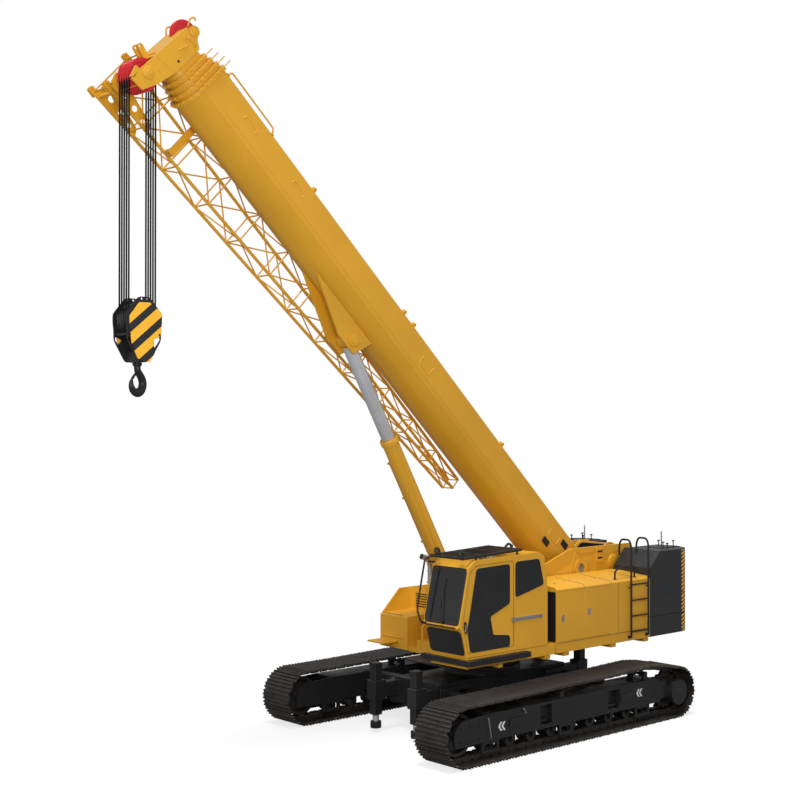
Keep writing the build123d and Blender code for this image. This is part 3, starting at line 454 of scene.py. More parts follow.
# %% Grids, joins and copies
def grid(points, close_u=False, close_v=False):
    """Quads between neighbours of a rows x columns x 3 array of points."""
    rows, cols = points.shape[:2]
    at = np.arange(rows * cols).reshape(rows, cols)
    if close_u:
        at = np.vstack([at, at[:1]])
    if close_v:
        at = np.hstack([at, at[:, :1]])
    quads = np.stack([at[:-1, :-1], at[1:, :-1], at[1:, 1:], at[:-1, 1:]], -1).reshape(-1, 4)
    return points.reshape(-1, 3), [quads]


def join(*solids):
    """Puts several solids in one; face numbers move up by the points before them."""
    points, faces, base = [], [], 0
    for pts, fcs in solids:
        points.append(pts)
        faces += [f + base for f in fcs]
        base += len(pts)
    return np.vstack(points), faces


def copies(solid, offsets, turns=None):
    """The solid repeated at each offset, each first turned by its own 3 x 3 matrix."""
    pts, fcs = solid
    offsets = np.asarray(offsets, float).reshape(-1, 3)
    turned = np.broadcast_to(pts, (len(offsets), *pts.shape))
    if turns is not None:
        turned = np.einsum("kij,nj->kni", turns, pts)
    all_pts = (turned + offsets[:, None]).reshape(-1, 3)
    step = (np.arange(len(offsets)) * len(pts))[:, None, None]
    return all_pts, [(f[None] + step).reshape(-1, f.shape[1]) for f in fcs]


def moved(solid, axes, origin):
    """Point = origin + x * axes[0] + y * axes[1] + z * axes[2]."""
    return solid[0] @ np.asarray(axes, float) + np.asarray(origin, float), solid[1]


print("a 3 x 4 grid has", len(grid(np.zeros((3, 4, 3)))[1][0]), "faces")

# %% Blocks, plates and outlines
AXES = {"X": (1, 2, 0), "Y": (0, 2, 1), "Z": (0, 1, 2)}  # two axes across and the one along


def block(x0, x1, y0, y1, z0, z1):
    """Box between two corners, as a 2 x 2 x 2 lattice of points."""
    pts = np.stack(np.meshgrid([x0, x1], [y0, y1], [z0, z1], indexing="ij"), -1).reshape(-1, 3)
    quads = np.array([[0, 1, 3, 2], [4, 6, 7, 5], [0, 4, 5, 1], [2, 3, 7, 6], [0, 2, 6, 4], [1, 5, 7, 3]])
    return pts.astype(float), [quads]


def plate(outline, axis, a, b, holes=()):
    """A flat outline pulled from a to b along an axis; with holes, its faces are triangles."""
    loops = [np.asarray(o, float) for o in (outline, *holes)]
    flat = np.vstack(loops)
    n = len(flat)
    pts = np.zeros((2 * n, 3))
    u, v, w = AXES[axis]
    pts[:, u], pts[:, v] = np.tile(flat[:, 0], 2), np.tile(flat[:, 1], 2)
    pts[:n, w], pts[n:, w] = a, b
    faces, start = [], 0
    for loop in loops:
        k = start + np.arange(len(loop))
        nxt = np.roll(k, -1)
        faces.append(np.stack([k, nxt, nxt + n, k + n], 1))
        start += len(loop)
    if holes:
        tris = np.array(tessellate_polygon([[Vector((*p, 0)) for p in loop] for loop in loops]))
        faces += [tris[:, ::-1], tris + n]
    else:
        cap = np.arange(n)[None]
        faces += [cap[:, ::-1], cap + n]
    return pts, faces


def disc(cx, cy, r, n=24):
    """Round outline: centre + r * (cos t, sin t)."""
    t = np.linspace(0, tau, n, endpoint=False)
    return np.stack([cx + r * np.cos(t), cy + r * np.sin(t)], 1)


def rectangle(x0, x1, y0, y1):
    """Outline of a rectangle, from its low corner round."""
    return [(x0, y0), (x1, y0), (x1, y1), (x0, y1)]


print("a block has", len(block(0, 1, 0, 1, 0, 1)[0]), "corners")


# %% Turned and drawn forms
def lathe(profile, axis, centre, sides=32, closed=True):
    """Profile of (radius, height) turned about an axis: point = centre + r (cos t, sin t), h.

    closed joins the profile's last point to its first; otherwise it starts and ends on the axis.
    """
    profile = np.asarray(profile, float)
    t = np.linspace(0, tau, sides, endpoint=False)
    u, v, w = AXES[axis]
    pts = np.zeros((len(profile), sides, 3))
    pts[..., u] = profile[:, :1] * np.cos(t)
    pts[..., v] = profile[:, :1] * np.sin(t)
    pts[..., w] = profile[:, 1:2]
    return grid(pts + np.asarray(centre, float), closed, True)


def cylinder(x, y, z, r, h, sides=20):
    """Upright cylinder from height z to z + h: its outline turned about the line through (x, y)."""
    return lathe([(0.0, 0.0), (r, 0.0), (r, h), (0.0, h)], "Z", (x, y, z), sides, False)


def rod(p, q, r, sides=12):
    """Straight round bar with flat ends."""
    return tube([p, q], r, sides)


def tube(path, r, sides=10, closed=False):
    """A circle of radius r carried along a path: point = path + r (cos t * side + sin t * up)."""
    path = np.asarray(path, float)
    ahead = np.roll(path, -1, 0) - path
    behind = path - np.roll(path, 1, 0)
    if not closed:
        ahead[-1], behind[0] = behind[-1], ahead[0]
    along = ahead / np.linalg.norm(ahead, axis=1)[:, None] + behind / np.linalg.norm(behind, axis=1)[:, None]
    along /= np.linalg.norm(along, axis=1)[:, None]
    spread = [np.abs(along @ e).max() for e in np.eye(3)]
    ref = np.eye(3)[int(np.argmin(spread))]
    side = np.cross(along, ref)
    side /= np.linalg.norm(side, axis=1)[:, None]
    up = np.cross(side, along)
    t = np.linspace(0, tau, sides, endpoint=False)
    rr = np.broadcast_to(np.asarray(r, float), (len(path),))[:, None, None]
    circle = np.cos(t)[None, :, None] * side[:, None] + np.sin(t)[None, :, None] * up[:, None]
    made, faces = grid(path[:, None] + rr * circle, closed, True)
    if not closed:
        last = (len(path) - 1) * sides
        faces += [np.arange(sides)[None, ::-1], last + np.arange(sides)[None]]
    return made, faces


def rounded(points, radius, n=5):
    """A path whose corners are replaced by short arcs: (1-t)^2 a + 2t(1-t) corner + t^2 b."""
    points = np.asarray(points, float)
    out = [points[0]]
    t = np.linspace(0, 1, n + 1)[:, None]
    for before, corner, after in zip(points, points[1:], points[2:]):
        one, two = before - corner, after - corner
        cut = min(radius, 0.45 * np.linalg.norm(one), 0.45 * np.linalg.norm(two))
        a = corner + one / np.linalg.norm(one) * cut
        b = corner + two / np.linalg.norm(two) * cut
        out.append((1 - t) ** 2 * a + 2 * t * (1 - t) * corner + t**2 * b)
    out.append(points[-1])
    return np.vstack(out)


def hexes(places, r, h, axis):
    """Hexagon bolt heads standing on a face at each place."""
    t = np.linspace(0, tau, 6, endpoint=False)
    head = plate(np.stack([r * np.cos(t), r * np.sin(t)], 1), axis, 0, h)
    return copies(head, places)


print("a bolt head has", len(hexes([(0, 0, 0)], 0.01, 0.01, "Z")[0]), "corners")

# %% [markdown]
# ### From arrays to pieces
# A piece is one object at the origin that rides on a body of the machine. New surfaces become a mesh
# whose faces are turned outwards. A modelled solid that keeps its form is copied instead, and its
# triangles are merged to whole faces, so that a bevel can round the real edges only.

# %% Making a piece
def piece(name, solid, material, body, replaces=(), bevel=0.0, smooth=35, segments=2, uv=None):
    """One object at the origin: joined solids, outward faces, soft edges, riding on its body."""
    pts, faces = solid
    mesh = bpy.data.meshes.new(name)
    mesh.from_pydata(pts.tolist(), [], [row for f in faces for row in f.tolist()])
    tidy = bmesh.new()
    tidy.from_mesh(mesh)
    bmesh.ops.recalc_face_normals(tidy, faces=tidy.faces)
    tidy.to_mesh(mesh)
    tidy.free()
    if uv is not None:
        layer = mesh.uv_layers.new(name="UVMap")
        corner = np.zeros(len(mesh.loops), int)
        mesh.loops.foreach_get("vertex_index", corner)
        layer.data.foreach_set("uv", np.asarray(uv, float)[corner].ravel())
    mesh.materials.append(material)
    made = bpy.data.objects.new(name, mesh)
    bpy.context.scene.collection.objects.link(made)
    finish_edges(made, bevel, smooth, segments)
    if body:
        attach(made, body)
    if replaces:
        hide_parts(*([replaces] if isinstance(replaces, str) else replaces))
    return made


def finish_edges(made, bevel, smooth, segments=2):
    """Rounds sharp edges by a bevel and shades gentle ones smooth."""
    made.data.shade_smooth()
    made.data.set_sharp_from_angle(angle=radians(smooth))
    if bevel > 0:
        edge = made.modifiers.new("edge_radius", "BEVEL")
        edge.width, edge.segments = bevel, segments
        edge.limit_method, edge.angle_limit = "ANGLE", radians(30)


# %% Modelled solids with soft edges
BODY_OF = {n: b for b, names in frame["record"]["behaviour"]["bodies"].items() for n in names}
SMOOTH_ANGLE, FLAT_ANGLE = 32, 0.6  # degrees: shaded smooth below one, merged to one face below the other


def softened(name, material, width):
    """A merged copy of a CAD node with flat faces made whole and its edges given a small radius."""
    source = frame["nodes"][name]
    shape = bmesh.new()
    shape.from_mesh(source.data)
    bmesh.ops.remove_doubles(shape, verts=shape.verts, dist=1e-5)
    flat = radians(FLAT_ANGLE)
    bmesh.ops.dissolve_limit(shape, angle_limit=flat, verts=shape.verts, edges=shape.edges)
    mesh = bpy.data.meshes.new(name + "_skin")
    shape.to_mesh(mesh)
    shape.free()
    mesh.materials.append(material)
    made = bpy.data.objects.new(name + "_skin", mesh)
    bpy.context.scene.collection.objects.link(made)
    finish_edges(made, width, SMOOTH_ANGLE)
    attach(made, BODY_OF[name])
    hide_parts(name)
    return made


def repaint(material, *names):
    """A CAD node that keeps its shape gets the finish in every material slot."""
    for name in names:
        for slot in frame["nodes"][name].material_slots:
            slot.material = material


print("nodes to dress", len(BODY_OF))

# %% [markdown]
# ## Crawlers
# A crawler is a chain of forged links with a bolted shoe on each, and every shoe carries three low
# bars that bite the ground. One shoe is worked out flat, then set at equal steps along the closed
# line round idler and sprocket. Copying arrays keeps all 132 shoes in two light meshes.

# %% Line of the loop
IDLER_X, IDLER_R = 2.695, 0.490
SPROCKET_X, SPROCKET_R = -2.720, 0.465
TOP_RUN = [(-2.350, 1.005), (-1.960, 1.046), (-0.800, 1.015), (0.300, 1.012), (1.750, 0.985)]
SHOES, TRACK_Y = 66, 2.0
SHOE_W, BAR_H = 0.76, 0.026  # width of a shoe and height of its bars
SIDES = (("left", 1), ("right", -1))


def loop_stations(count):
    """Equal steps along two half circles and two runs; direction = the chord over one shoe."""
    t = np.linspace(pi / 2, -pi / 2, 49)
    front = np.stack([IDLER_X + IDLER_R * np.cos(t), IDLER_R + IDLER_R * np.sin(t)], 1)
    t = t - pi
    rear = np.stack([SPROCKET_X + SPROCKET_R * np.cos(t), SPROCKET_R + SPROCKET_R * np.sin(t)], 1)
    line = np.vstack([front, rear, TOP_RUN, front[:1]])
    run = np.concatenate([[0], np.cumsum(np.hypot(*np.diff(line, axis=0).T))])
    pitch = run[-1] / count

    def at(s):
        """Point of the loop at the length s along it."""
        s = s % run[-1]
        return np.stack([np.interp(s, run, line[:, 0]), np.interp(s, run, line[:, 1])], 1)

    middle = (np.arange(count) + 0.5) * pitch
    chord = at(middle + pitch / 2) - at(middle - pitch / 2)
    return at(middle), chord / np.linalg.norm(chord, axis=1)[:, None], pitch


places, chords, PITCH = loop_stations(SHOES)
print("shoe pitch", round(PITCH, 4))


# %% One shoe and its links
LINK = [(-0.112, -0.104), (-0.094, -0.127), (0.074, -0.127), (0.090, -0.108)]
LINK += [(0.090, -0.062), (0.06, -0.041), (-0.08, -0.041), (-0.112, -0.066)]


def shoe_and_links():
    """Shoe in (along, across, out): clipped plate, three bars, two links, a pin and four bolts."""
    half, wide, clip = PITCH / 2 - 0.002, SHOE_W / 2, 0.045
    plan = [(-half, clip - wide), (clip - half, -wide), (half - clip, -wide), (half, clip - wide)]
    plan += [(a, -b) for a, b in reversed(plan)]
    made = [plate(plan, "Z", -0.042, -BAR_H)]
    foot = -BAR_H - 0.002
    for s, end in ((-PITCH / 3, wide - 0.012), (0.0, wide), (PITCH / 3, wide - 0.012)):
        bar = [(s - 0.017, foot), (s + 0.017, foot), (s + 0.006, 0), (s - 0.006, 0)]
        made.append(plate(bar, "Y", -end, end))
    for side in (1, -1):
        made.append(plate(LINK, "Y", side * 0.076, side * 0.104))
        bolts = [(-0.035, side * 0.09, -0.027), (0.035, side * 0.09, -0.027)]
        made.append(hexes(bolts, 0.014, 0.012, "Z"))
    made.append(rod((-0.1, -0.078, -0.086), (-0.1, 0.078, -0.086), 0.03, 8))
    return join(*made)


shoe = shoe_and_links()
print("corners of a shoe with its links", len(shoe[0]))

# %% Shoes round the loop
turns = np.zeros((SHOES, 3, 3))
turns[:, 0, 0], turns[:, 2, 0] = chords[:, 0], chords[:, 1]
turns[:, 1, 1] = 1
turns[:, 0, 2], turns[:, 2, 2] = -chords[:, 1], chords[:, 0]
for tag, side in SIDES:
    centres = np.stack([places[:, 0], np.full(SHOES, side * TRACK_Y), places[:, 1]], 1)
    pts, faces = copies(shoe, centres, turns)
    pts[:, 2] = np.maximum(pts[:, 2], 0.0)
    body, stands_for = "track_" + tag, "track_loop_" + tag
    piece("shoes_" + tag, (pts, faces), crawler, body, stands_for, bevel=0.0025, segments=1)
print("shoes", 2 * SHOES)

# %% [markdown]
# ### Wheels inside the loop
# Rollers, idler and sprocket are turned parts, so each is a profile of radius and width spun round
# the axle. The sprocket's rim is the one exception: its outline is a circle with a raised wave.

# %% Profiles of the wheels
ROLLER_AT = [(-2.0 + 0.5 * i, 0.2243) for i in range(9)]
CARRIER_AT = [(-1.96, 0.86), (0.30, 0.826)]
IDLER = [(0.0, 0.160), (0.055, 0.160), (0.085, 0.135), (0.095, 0.060), (0.255, 0.045)]
IDLER += [(0.285, 0.115), (0.335, 0.118), (0.342, 0.105), (0.342, 0.072), (0.342, 0.070)]
SPROCKET_HUB = [(0.0, 0.199), (0.12, 0.199), (0.12, 0.150), (0.21, 0.090), (0.24, 0.045)]
TEETH = 13


def mirrored(side):
    """Half a profile of (radius, width) and its mirror image, as one profile."""
    return side + [(a, -b) for a, b in reversed(side)]


def roller_profile(r, half, shaft):
    """Profile of (radius, width): shaft stub, flange, tread, waist, tread, flange, stub."""
    side = [(0.0, half + 0.034), (shaft, half + 0.032), (shaft, half), (r - 0.012, half)]
    side += [(r + 0.010, half - 0.006), (r + 0.010, half - 0.018), (r - 0.002, half - 0.024)]
    return mirrored(side + [(r - 0.002, 0.055), (r - 0.022, 0.035)])


def sprocket_outline():
    """Radius = root + height times a clipped cosine wave round the circle."""
    t = np.linspace(0, tau, TEETH * 12, endpoint=False)
    r = 0.318 + 0.028 * np.clip(np.cos(TEETH * t) + 0.35, -0.4, 1) / 1.35
    return np.stack([SPROCKET_X + r * np.cos(t), SPROCKET_R + r * np.sin(t)], 1)


print("teeth", TEETH)

# %% Rollers, idler and sprocket
for tag, side in SIDES:
    y = side * TRACK_Y
    wheels = [lathe(roller_profile(0.094, 0.13, 0.032), "Y", (x, y, z), 28, False) for x, z in ROLLER_AT]
    wheels += [lathe(roller_profile(0.048, 0.12, 0.026), "Y", (x, y, z), 24, False) for x, z in CARRIER_AT]
    wheels.append(lathe(mirrored(IDLER), "Y", (IDLER_X, y, IDLER_R), 64, False))
    bore = disc(SPROCKET_X, SPROCKET_R, 0.2, 40)
    wheels.append(plate(sprocket_outline(), "Y", y - 0.035, y + 0.035, [bore]))
    wheels.append(lathe(mirrored(SPROCKET_HUB), "Y", (SPROCKET_X, y, SPROCKET_R), 40, False))
    body, stands_for = "track_" + tag, "track_wheels_" + tag
    piece("wheels_" + tag, join(*wheels), crawler, body, stands_for, bevel=0.0015, segments=1)
print("rollers", 2 * (len(ROLLER_AT) + len(CARRIER_AT)))

# %% [markdown]
# ### Side frames
# The welded frames keep their modelled shape. A merged copy gets a small radius on every edge, which
# catches light as real plate does, and the small bolted things are added: covers, loops and marks.

# %% Frames and centre
for name in ("track_frame_left", "track_frame_right", "carbody", "support_jacks"):
    softened(name, frame_black, 0.006)
FRAME_FACE = TRACK_Y + 0.258  # outer face of a side frame
DRIVE = [(0.0, 0.3795), (0.055, 0.3795), (0.062, 0.3715), (0.062, 0.3615), (0.145, 0.3615)]
DRIVE += [(0.158, 0.3515), (0.221, 0.3515), (0.225, 0.3435), (0.225, 0.2775), (0.0, 0.2775)]
print("frames", 4)


# %% Things bolted to the frames
def on_circle(x, y, z, r, angles):
    """Places on a circle of radius r about a line along Y."""
    return np.stack([x + r * np.cos(angles), 0 * angles + y, z + r * np.sin(angles)], 1)


def final_drive(side):
    """Stepped cover of the travel gear with a ring of bolts, at the rear end of the frame."""
    y = side * TRACK_Y
    cover = lathe([(r, side * h) for r, h in DRIVE], "Y", (SPROCKET_X, y, SPROCKET_R), 56, False)
    t = np.linspace(0, tau, 16, endpoint=False)
    bolts = on_circle(SPROCKET_X, y + side * 0.354, SPROCKET_R, 0.19, t)
    plugs = on_circle(SPROCKET_X, y + side * 0.357, SPROCKET_R, 0.10, t[::4] + 0.4)
    return join(cover, hexes(bolts, 0.013, side * 0.014, "Y"), hexes(plugs, 0.012, side * 0.012, "Y"))


def grab_loop(x0, z0, x1, z1, side):
    """A bent round bar that stands out from the frame and lies back on it further up."""
    face, out = side * (FRAME_FACE - 0.01), side * (FRAME_FACE + 0.036)
    path = [(x0, face, z0), (x0, out, z0), (x1, out, z1), (x1, face, z1)]
    return tube(rounded(path, 0.03), 0.011, 8)


def arrow(x, z, side):
    """A white mark on the frame, bent to a point at (x, z)."""
    outline = [(x, z), (x - 0.055, z + 0.07), (x - 0.095, z + 0.07)]
    outline += [(x - 0.04, z), (x - 0.095, z - 0.07), (x - 0.055, z - 0.07)]
    return plate(outline, "Y", side * (FRAME_FACE - 0.001), side * (FRAME_FACE + 0.0012))


for tag, side in SIDES:
    body = "track_" + tag
    piece("final_drive_" + tag, final_drive(side), frame_black, body, bevel=0.002)
    loops = [grab_loop(2.112, 0.367, 2.176, 0.71, side), grab_loop(1.299, 0.657, 1.353, 0.745, side)]
    piece("grab_loops_" + tag, join(*loops), bare_steel, body)
    marks = [arrow(x - k, z, side) for x, z in ((1.92, 0.527), (-1.608, 0.576)) for k in (0.0, 0.075)]
    piece("frame_marks_" + tag, join(*marks), mark_white, body)
    nuts = [(x, side * (FRAME_FACE - 0.002), 0.315) for x in (1.95, 2.085, 2.23, -1.93, -1.78, -1.63)]
    nuts += [(x, side * FRAME_FACE, z) for x in (2.35, 2.55, 2.75) for z in (0.40, 0.62)]
    piece("frame_bolts_" + tag, hexes(nuts, 0.016, side * 0.014, "Y"), frame_black, body)
print("marks", 2 * len(marks))

# %% [markdown]
# ### Turntable bearing and jack rams
# Between undercarriage and deck sits the slewing ring, a toothed ring held by a circle of bolts. It
# is a circle with a wave for its teeth. The four jacks get bright rams and round feet.


# %% Slewing ring
def ring_teeth(r, teeth, depth):
    """Radius = r + depth times a clipped cosine wave."""
    t = np.linspace(0, tau, teeth * 4, endpoint=False)
    rr = r + depth * np.clip(1.6 * np.cos(teeth * t), -1, 1)
    return np.stack([rr * np.cos(t), rr * np.sin(t)], 1)


ring_gear = plate(ring_teeth(0.655, 110, 0.012), "Z", 1.10, 1.17)
t = np.linspace(0, tau, 48, endpoint=False)
bolt_places = np.stack([0.668 * np.cos(t), 0.668 * np.sin(t), 0 * t + 1.05], 1)
ring_bolts = hexes(bolt_places, 0.012, 0.02, "Z")
ring_lip = lathe([(0.60, 1.0), (0.70, 1.0), (0.70, 1.05), (0.60, 1.05)], "Z", (0, 0, 0), 96)
ring_parts = join(ring_gear, ring_bolts, ring_lip)
piece("slewing_ring", ring_parts, crawler, "base", bevel=0.0015, segments=1)
print("ring bolts", len(t))

# %% Jack rams and feet
JACK_X, JACK_Y = 2.1, 0.52
FOOT_PROFILE = [(0.0, 0.07), (0.09, 0.07), (0.0955, 0.08), (0.0955, 0.18), (0.08, 0.194), (0.0, 0.194)]
CAP_HALF, CAP_LOW, CAP_TOP = 0.086, 1.165, 1.203
rams, feet = [], []
for x in (JACK_X, -JACK_X):
    for y in (JACK_Y, -JACK_Y):
        rams.append(rod((x, y, 0.19), (x, y, 0.32), 0.0555, 28))
        feet.append(lathe(FOOT_PROFILE, "Z", (x, y, 0), 28, False))
        feet.append(block(x - CAP_HALF, x + CAP_HALF, y - CAP_HALF, y + CAP_HALF, CAP_LOW, CAP_TOP))
        screws = [(x + a, y + b, CAP_TOP) for a in (-0.05, 0.05) for b in (-0.05, 0.05)]
        feet.append(hexes(screws, 0.012, 0.01, "Z"))
piece("jack_rams", join(*rams), rod_chrome, "base")
piece("jack_feet", join(*feet), frame_black, "base", bevel=0.003)
print("jacks", len(rams))

# %% [markdown]
# ## Upper structure
# Deck, side plates, housings, doors and counterweight are welded sheet and cast blocks. Again the
# modelled solids carry the form, with a radius on their edges, and the fittings are new surfaces.

# %% Deck, housings and doors
softened("turntable", yellow, 0.006)
for name in ("left_housing", "engine_housing"):
    softened(name, yellow, 0.012)
for name in ("left_door_front", "left_door_rear", "right_door_front", "right_door_rear"):
    softened(name, yellow, 0.005)
repaint(engine_paint, "engine_block", "hydraulic_tank")
print("doors", 4)

# %% [markdown]
# ### Steps and the side plates' relief
# Folded plates serve as steps in front of the deck, and a thin black panel behind the cab paints the
# deep shade of the gap there and stands for a dark grille. Two tall side plates carry the boom's pin.
# A pressed frame, a slanted rib, a slotted bracket and a round boss stand one to three centimetres
# out of their outer faces.

# %% Steps
front_step = block(1.1003, 1.88, -0.10, 1.07, 1.285, 1.315)
piece("front_platform", front_step, black_trim_and_shade, "superstructure", "walkways", bevel=0.004)
tread = block(1.15, 1.50, -1.45, -1.00, 1.385, 1.415)
riser = block(1.1403, 1.19, -1.40, -1.05, 1.30, 1.39)
piece("right_step", join(tread, riser), yellow, "superstructure", bevel=0.004)
# A black sheet on the housing's front face behind the cab: painted shade of the deep gap there, and a dark
# grille.
piece("gap_shade_panel", block(-0.358, -0.354, 0.60, 1.47, 1.52, 2.40), black_trim_and_shade, "superstructure")
print("steps", 2)

# %% Side plates
PLATE_FACE, RIM = 0.548, 0.012  # where the relief starts, and half the width of a bar in the pressed frame
PANEL_X, PANEL_Z = (-2.52, -2.02), (2.49, 2.91)
RIB = [(-1.965, 2.913), (-1.935, 2.913), (-1.803, 2.509), (-1.833, 2.509)]
BOSS = [(0.0, 0.580), (0.120, 0.580), (0.135, 0.572), (0.135, PLATE_FACE), (0.0, PLATE_FACE)]


def pressed_frame(x0, x1, z0, z1, y0, y1):
    """Four flat bars along the sides of a rectangle."""
    runs = [(x0, x1, z0, z0), (x0, x0, z0, z1), (x0, x1, z1, z1), (x1, x1, z0, z1)]
    return join(*[block(a - RIM, b + RIM, y0, y1, c - RIM, d + RIM) for a, b, c, d in runs])


relief, slits = [], []
for side in (1, -1):
    y0, y1 = side * PLATE_FACE, side * 0.560
    relief.append(pressed_frame(*PANEL_X, *PANEL_Z, y0, y1))
    relief.append(plate(RIB, "Y", y0, y1))
    relief.append(block(-2.75, -2.55, y0, side * 0.574, 2.69, 2.97))
    relief.append(lathe([(r, side * h) for r, h in BOSS], "Y", (-3.055, 0, 2.68), 40, False))
    slits += [block(-2.72, -2.58, side * 0.572, side * 0.5755, z, z + 0.035) for z in (2.76, 2.88)]
piece("side_plate_relief", join(*relief), yellow, "superstructure", bevel=0.002, segments=1)
# The bracket's slots are thin black strips: painted shade inside the slots.
piece("side_plate_slot_shade", join(*slits), black_trim_and_shade, "superstructure")
print("relief", len(relief))

# %% [markdown]
# ### Winches
# A drum full of rope is a turned body whose radius ripples once for every turn of rope. The flanges
# and the gear case on each side are one profile, turned about the same axle.

# %% Winch drums
DRUM_HALF, FLANGE_R, ROPE_R, TURNS_OF_ROPE = 0.36, 0.25, 0.19, 28


def wound_drum(x, z):
    """Radius = wound rope's radius + a bit of |sin| for each turn, between two flanges."""
    s = np.linspace(0, 1, TURNS_OF_ROPE * 6 + 1)
    ripple = ROPE_R - 0.006 + 0.009 * np.abs(np.sin(pi * TURNS_OF_ROPE * s))
    body = np.stack([ripple, (DRUM_HALF - 0.031) * (2 * s - 1)], 1)
    end = DRUM_HALF - 0.02
    return lathe(np.vstack([[(0.02, -end)], body, [(0.02, end)]]), "Y", (x, 0, z), 48, False)


def drum_sides(x, z):
    """Two flanges with a thick rim, the gear case and the axle."""
    r, h = FLANGE_R, DRUM_HALF
    rim = [(0.0, h - 0.03), (r - 0.02, h - 0.03), (r, h - 0.022), (r, h), (r - 0.03, h)]
    rim += [(r - 0.03, h - 0.012), (0.10, h - 0.012), (0.09, h + 0.02), (0.07, h + 0.13), (0.0, h + 0.13)]
    return join(*[lathe([(a, side * b) for a, b in rim], "Y", (x, 0, z), 48, False) for side in (1, -1)])


for name, x, z in (("main_winch", -2.95, 2.25), ("auxiliary_winch", -3.20, 2.78)):
    piece(name + "_rope", wound_drum(x, z), rope, name)
    piece(name + "_sides", drum_sides(x, z), yellow, name, name, bevel=0.002)
print("winches wound")

# %% [markdown]
# ### Counterweight
# The counterweight is cast slabs stacked on the tail. Its rounded rear corners carry slanted warning
# bands. The band is a grid of arc angle by height, a hair outside the casting, with its UV map in
# metres so the stripes keep their pitch round the corner.

# %% Castings
softened("counterweight_slabs", weight_grey, 0.010)
softened("counterweight_block", weight_grey, 0.012)
CORNER_X, CORNER_R, HALF_W = -3.970, 0.370, 1.5
BAND_OUT = 0.0008  # how far a band stands outside the casting
BAND_HEIGHTS = ((1.345, 1.690), (1.718, 2.080), (2.100, 2.915))
print("castings", 2)


# %% Hazard bands
def corner_sheet(side, tt, zz, r):
    """Point = centre of a rear corner + r (sin t, cos t), by height."""
    return np.stack([CORNER_X - r * np.sin(tt), side * (HALF_W - CORNER_R + r * np.cos(tt)), zz], -1)


def hazard_band(side, z0, z1):
    """An outer and an inner corner sheet, closed by a rim; UV = (R t, z)."""
    tt, zz = np.meshgrid(np.linspace(0.02, pi / 2 - 0.07, 17), [z0, z1], indexing="ij")
    skin, faces = grid(corner_sheet(side, tt, zz, CORNER_R + BAND_OUT))
    back = corner_sheet(side, tt, zz, CORNER_R).reshape(-1, 3)
    n, (rows, cols) = len(skin), tt.shape
    up = np.arange(1, rows) * cols + cols - 1
    far = (rows - 1) * cols + np.arange(cols - 2, -1, -1)
    down = np.arange(rows - 2, 0, -1) * cols
    edge = np.concatenate([np.arange(cols), up, far, down])
    after = np.roll(edge, -1)
    rim = np.stack([edge, after, after + n, edge + n], 1)
    uv = np.stack([CORNER_R * tt, zz], -1).reshape(-1, 2)
    return (np.vstack([skin, back]), [*faces, faces[0] + n, rim]), np.vstack([uv, uv])


bands = [hazard_band(side, z0, z1) for side in (1, -1) for z0, z1 in BAND_HEIGHTS]
band_uv = np.vstack([uv for band, uv in bands])
piece("hazard_bands", join(*[band for band, uv in bands]), hazard, "superstructure", uv=band_uv)
print("bands", len(bands))

# %% Pins and chains on the counterweight
WEIGHT_TOP = 2.930
LINKS, LINK_STEP, LINK_R, WIRE_R = 9, 0.036, 0.013, 0.0045
PINS = ((-4.03, 1.02, 0.10), (-4.17, 1.16, 0.13), (-4.10, 0.86, 0.12), (-3.90, 1.22, 0.10))


def chain(x, y, z):
    """Each link is a stretched ring; every second one is turned a quarter about the chain's line."""
    t = np.linspace(0, tau, 16, endpoint=False)
    ring_path = np.stack([LINK_R * np.cos(t), 0 * t, (LINK_STEP / 2 + 0.006) * np.sin(t)], 1)
    link = tube(ring_path, WIRE_R, 6, closed=True)
    turn = np.zeros((LINKS, 3, 3))
    even = np.arange(LINKS) % 2 == 0
    turn[:, 2, 2] = 1
    turn[even, 0, 0] = turn[even, 1, 1] = 1
    turn[~even, 0, 1], turn[~even, 1, 0] = -1, 1
    height = z + 0.02 + np.arange(LINKS) * LINK_STEP * 0.86
    return copies(link, np.stack([np.full(LINKS, x), np.full(LINKS, y), height], 1), turn)


def cross_pin(x, y, h):
    """An upright pin of height h with a cross bar near its top and a washer at its foot."""
    top = WEIGHT_TOP + h
    upright = rod((x, y, WEIGHT_TOP - 0.01), (x, y, top), 0.011, 10)
    cross = rod((x - 0.04, y, top - 0.012), (x + 0.04, y, top - 0.012), 0.011, 10)
    return join(upright, cross, cylinder(x, y, WEIGHT_TOP, 0.034, 0.012))


fittings, chains = [], []
for side in (1, -1):
    fittings += [cross_pin(x, side * y, h) for x, y, h in PINS]
    pad = rectangle(-4.30, -3.72, side - 0.10, side + 0.22)
    fittings.append(plate(pad, "Z", WEIGHT_TOP, WEIGHT_TOP + 0.012))
    chains.append(chain(-4.03, side * 0.98, WEIGHT_TOP + 0.01))
piece("weight_fittings", join(*fittings), black_trim_and_shade, "superstructure", bevel=0.0015, segments=1)
piece("weight_chains", join(*chains), black_trim_and_shade, "superstructure")
print("pins", 2 * len(PINS), "chains", len(chains))

# %% [markdown]
# ### Fittings of the housings
# What makes sheet metal read as a machine is small: dark joints round each door, bright locks, hinge
# rods, louvres and hand rails. Each is a short surface set on the panel it belongs to.

# %% Locks and hinges
DOOR_TABLE = [  # name, side, front x, rear x, z0, z1, lock height
    ("left_door_front", 1, -0.400, -1.106, 1.52, 2.40, 1.935),
    ("left_door_rear", 1, -1.114, -1.842, 1.52, 2.40, 1.985),
    ("right_door_front", -1, -0.400, -1.306, 1.52, 2.22, 1.88),
    ("right_door_rear", -1, -1.314, -2.300, 1.52, 2.22, 1.88),
]
LOCK_CAP = [(0.0, 0.0), (0.008, 0.0), (0.008, 0.004), (0.0, 0.005)]


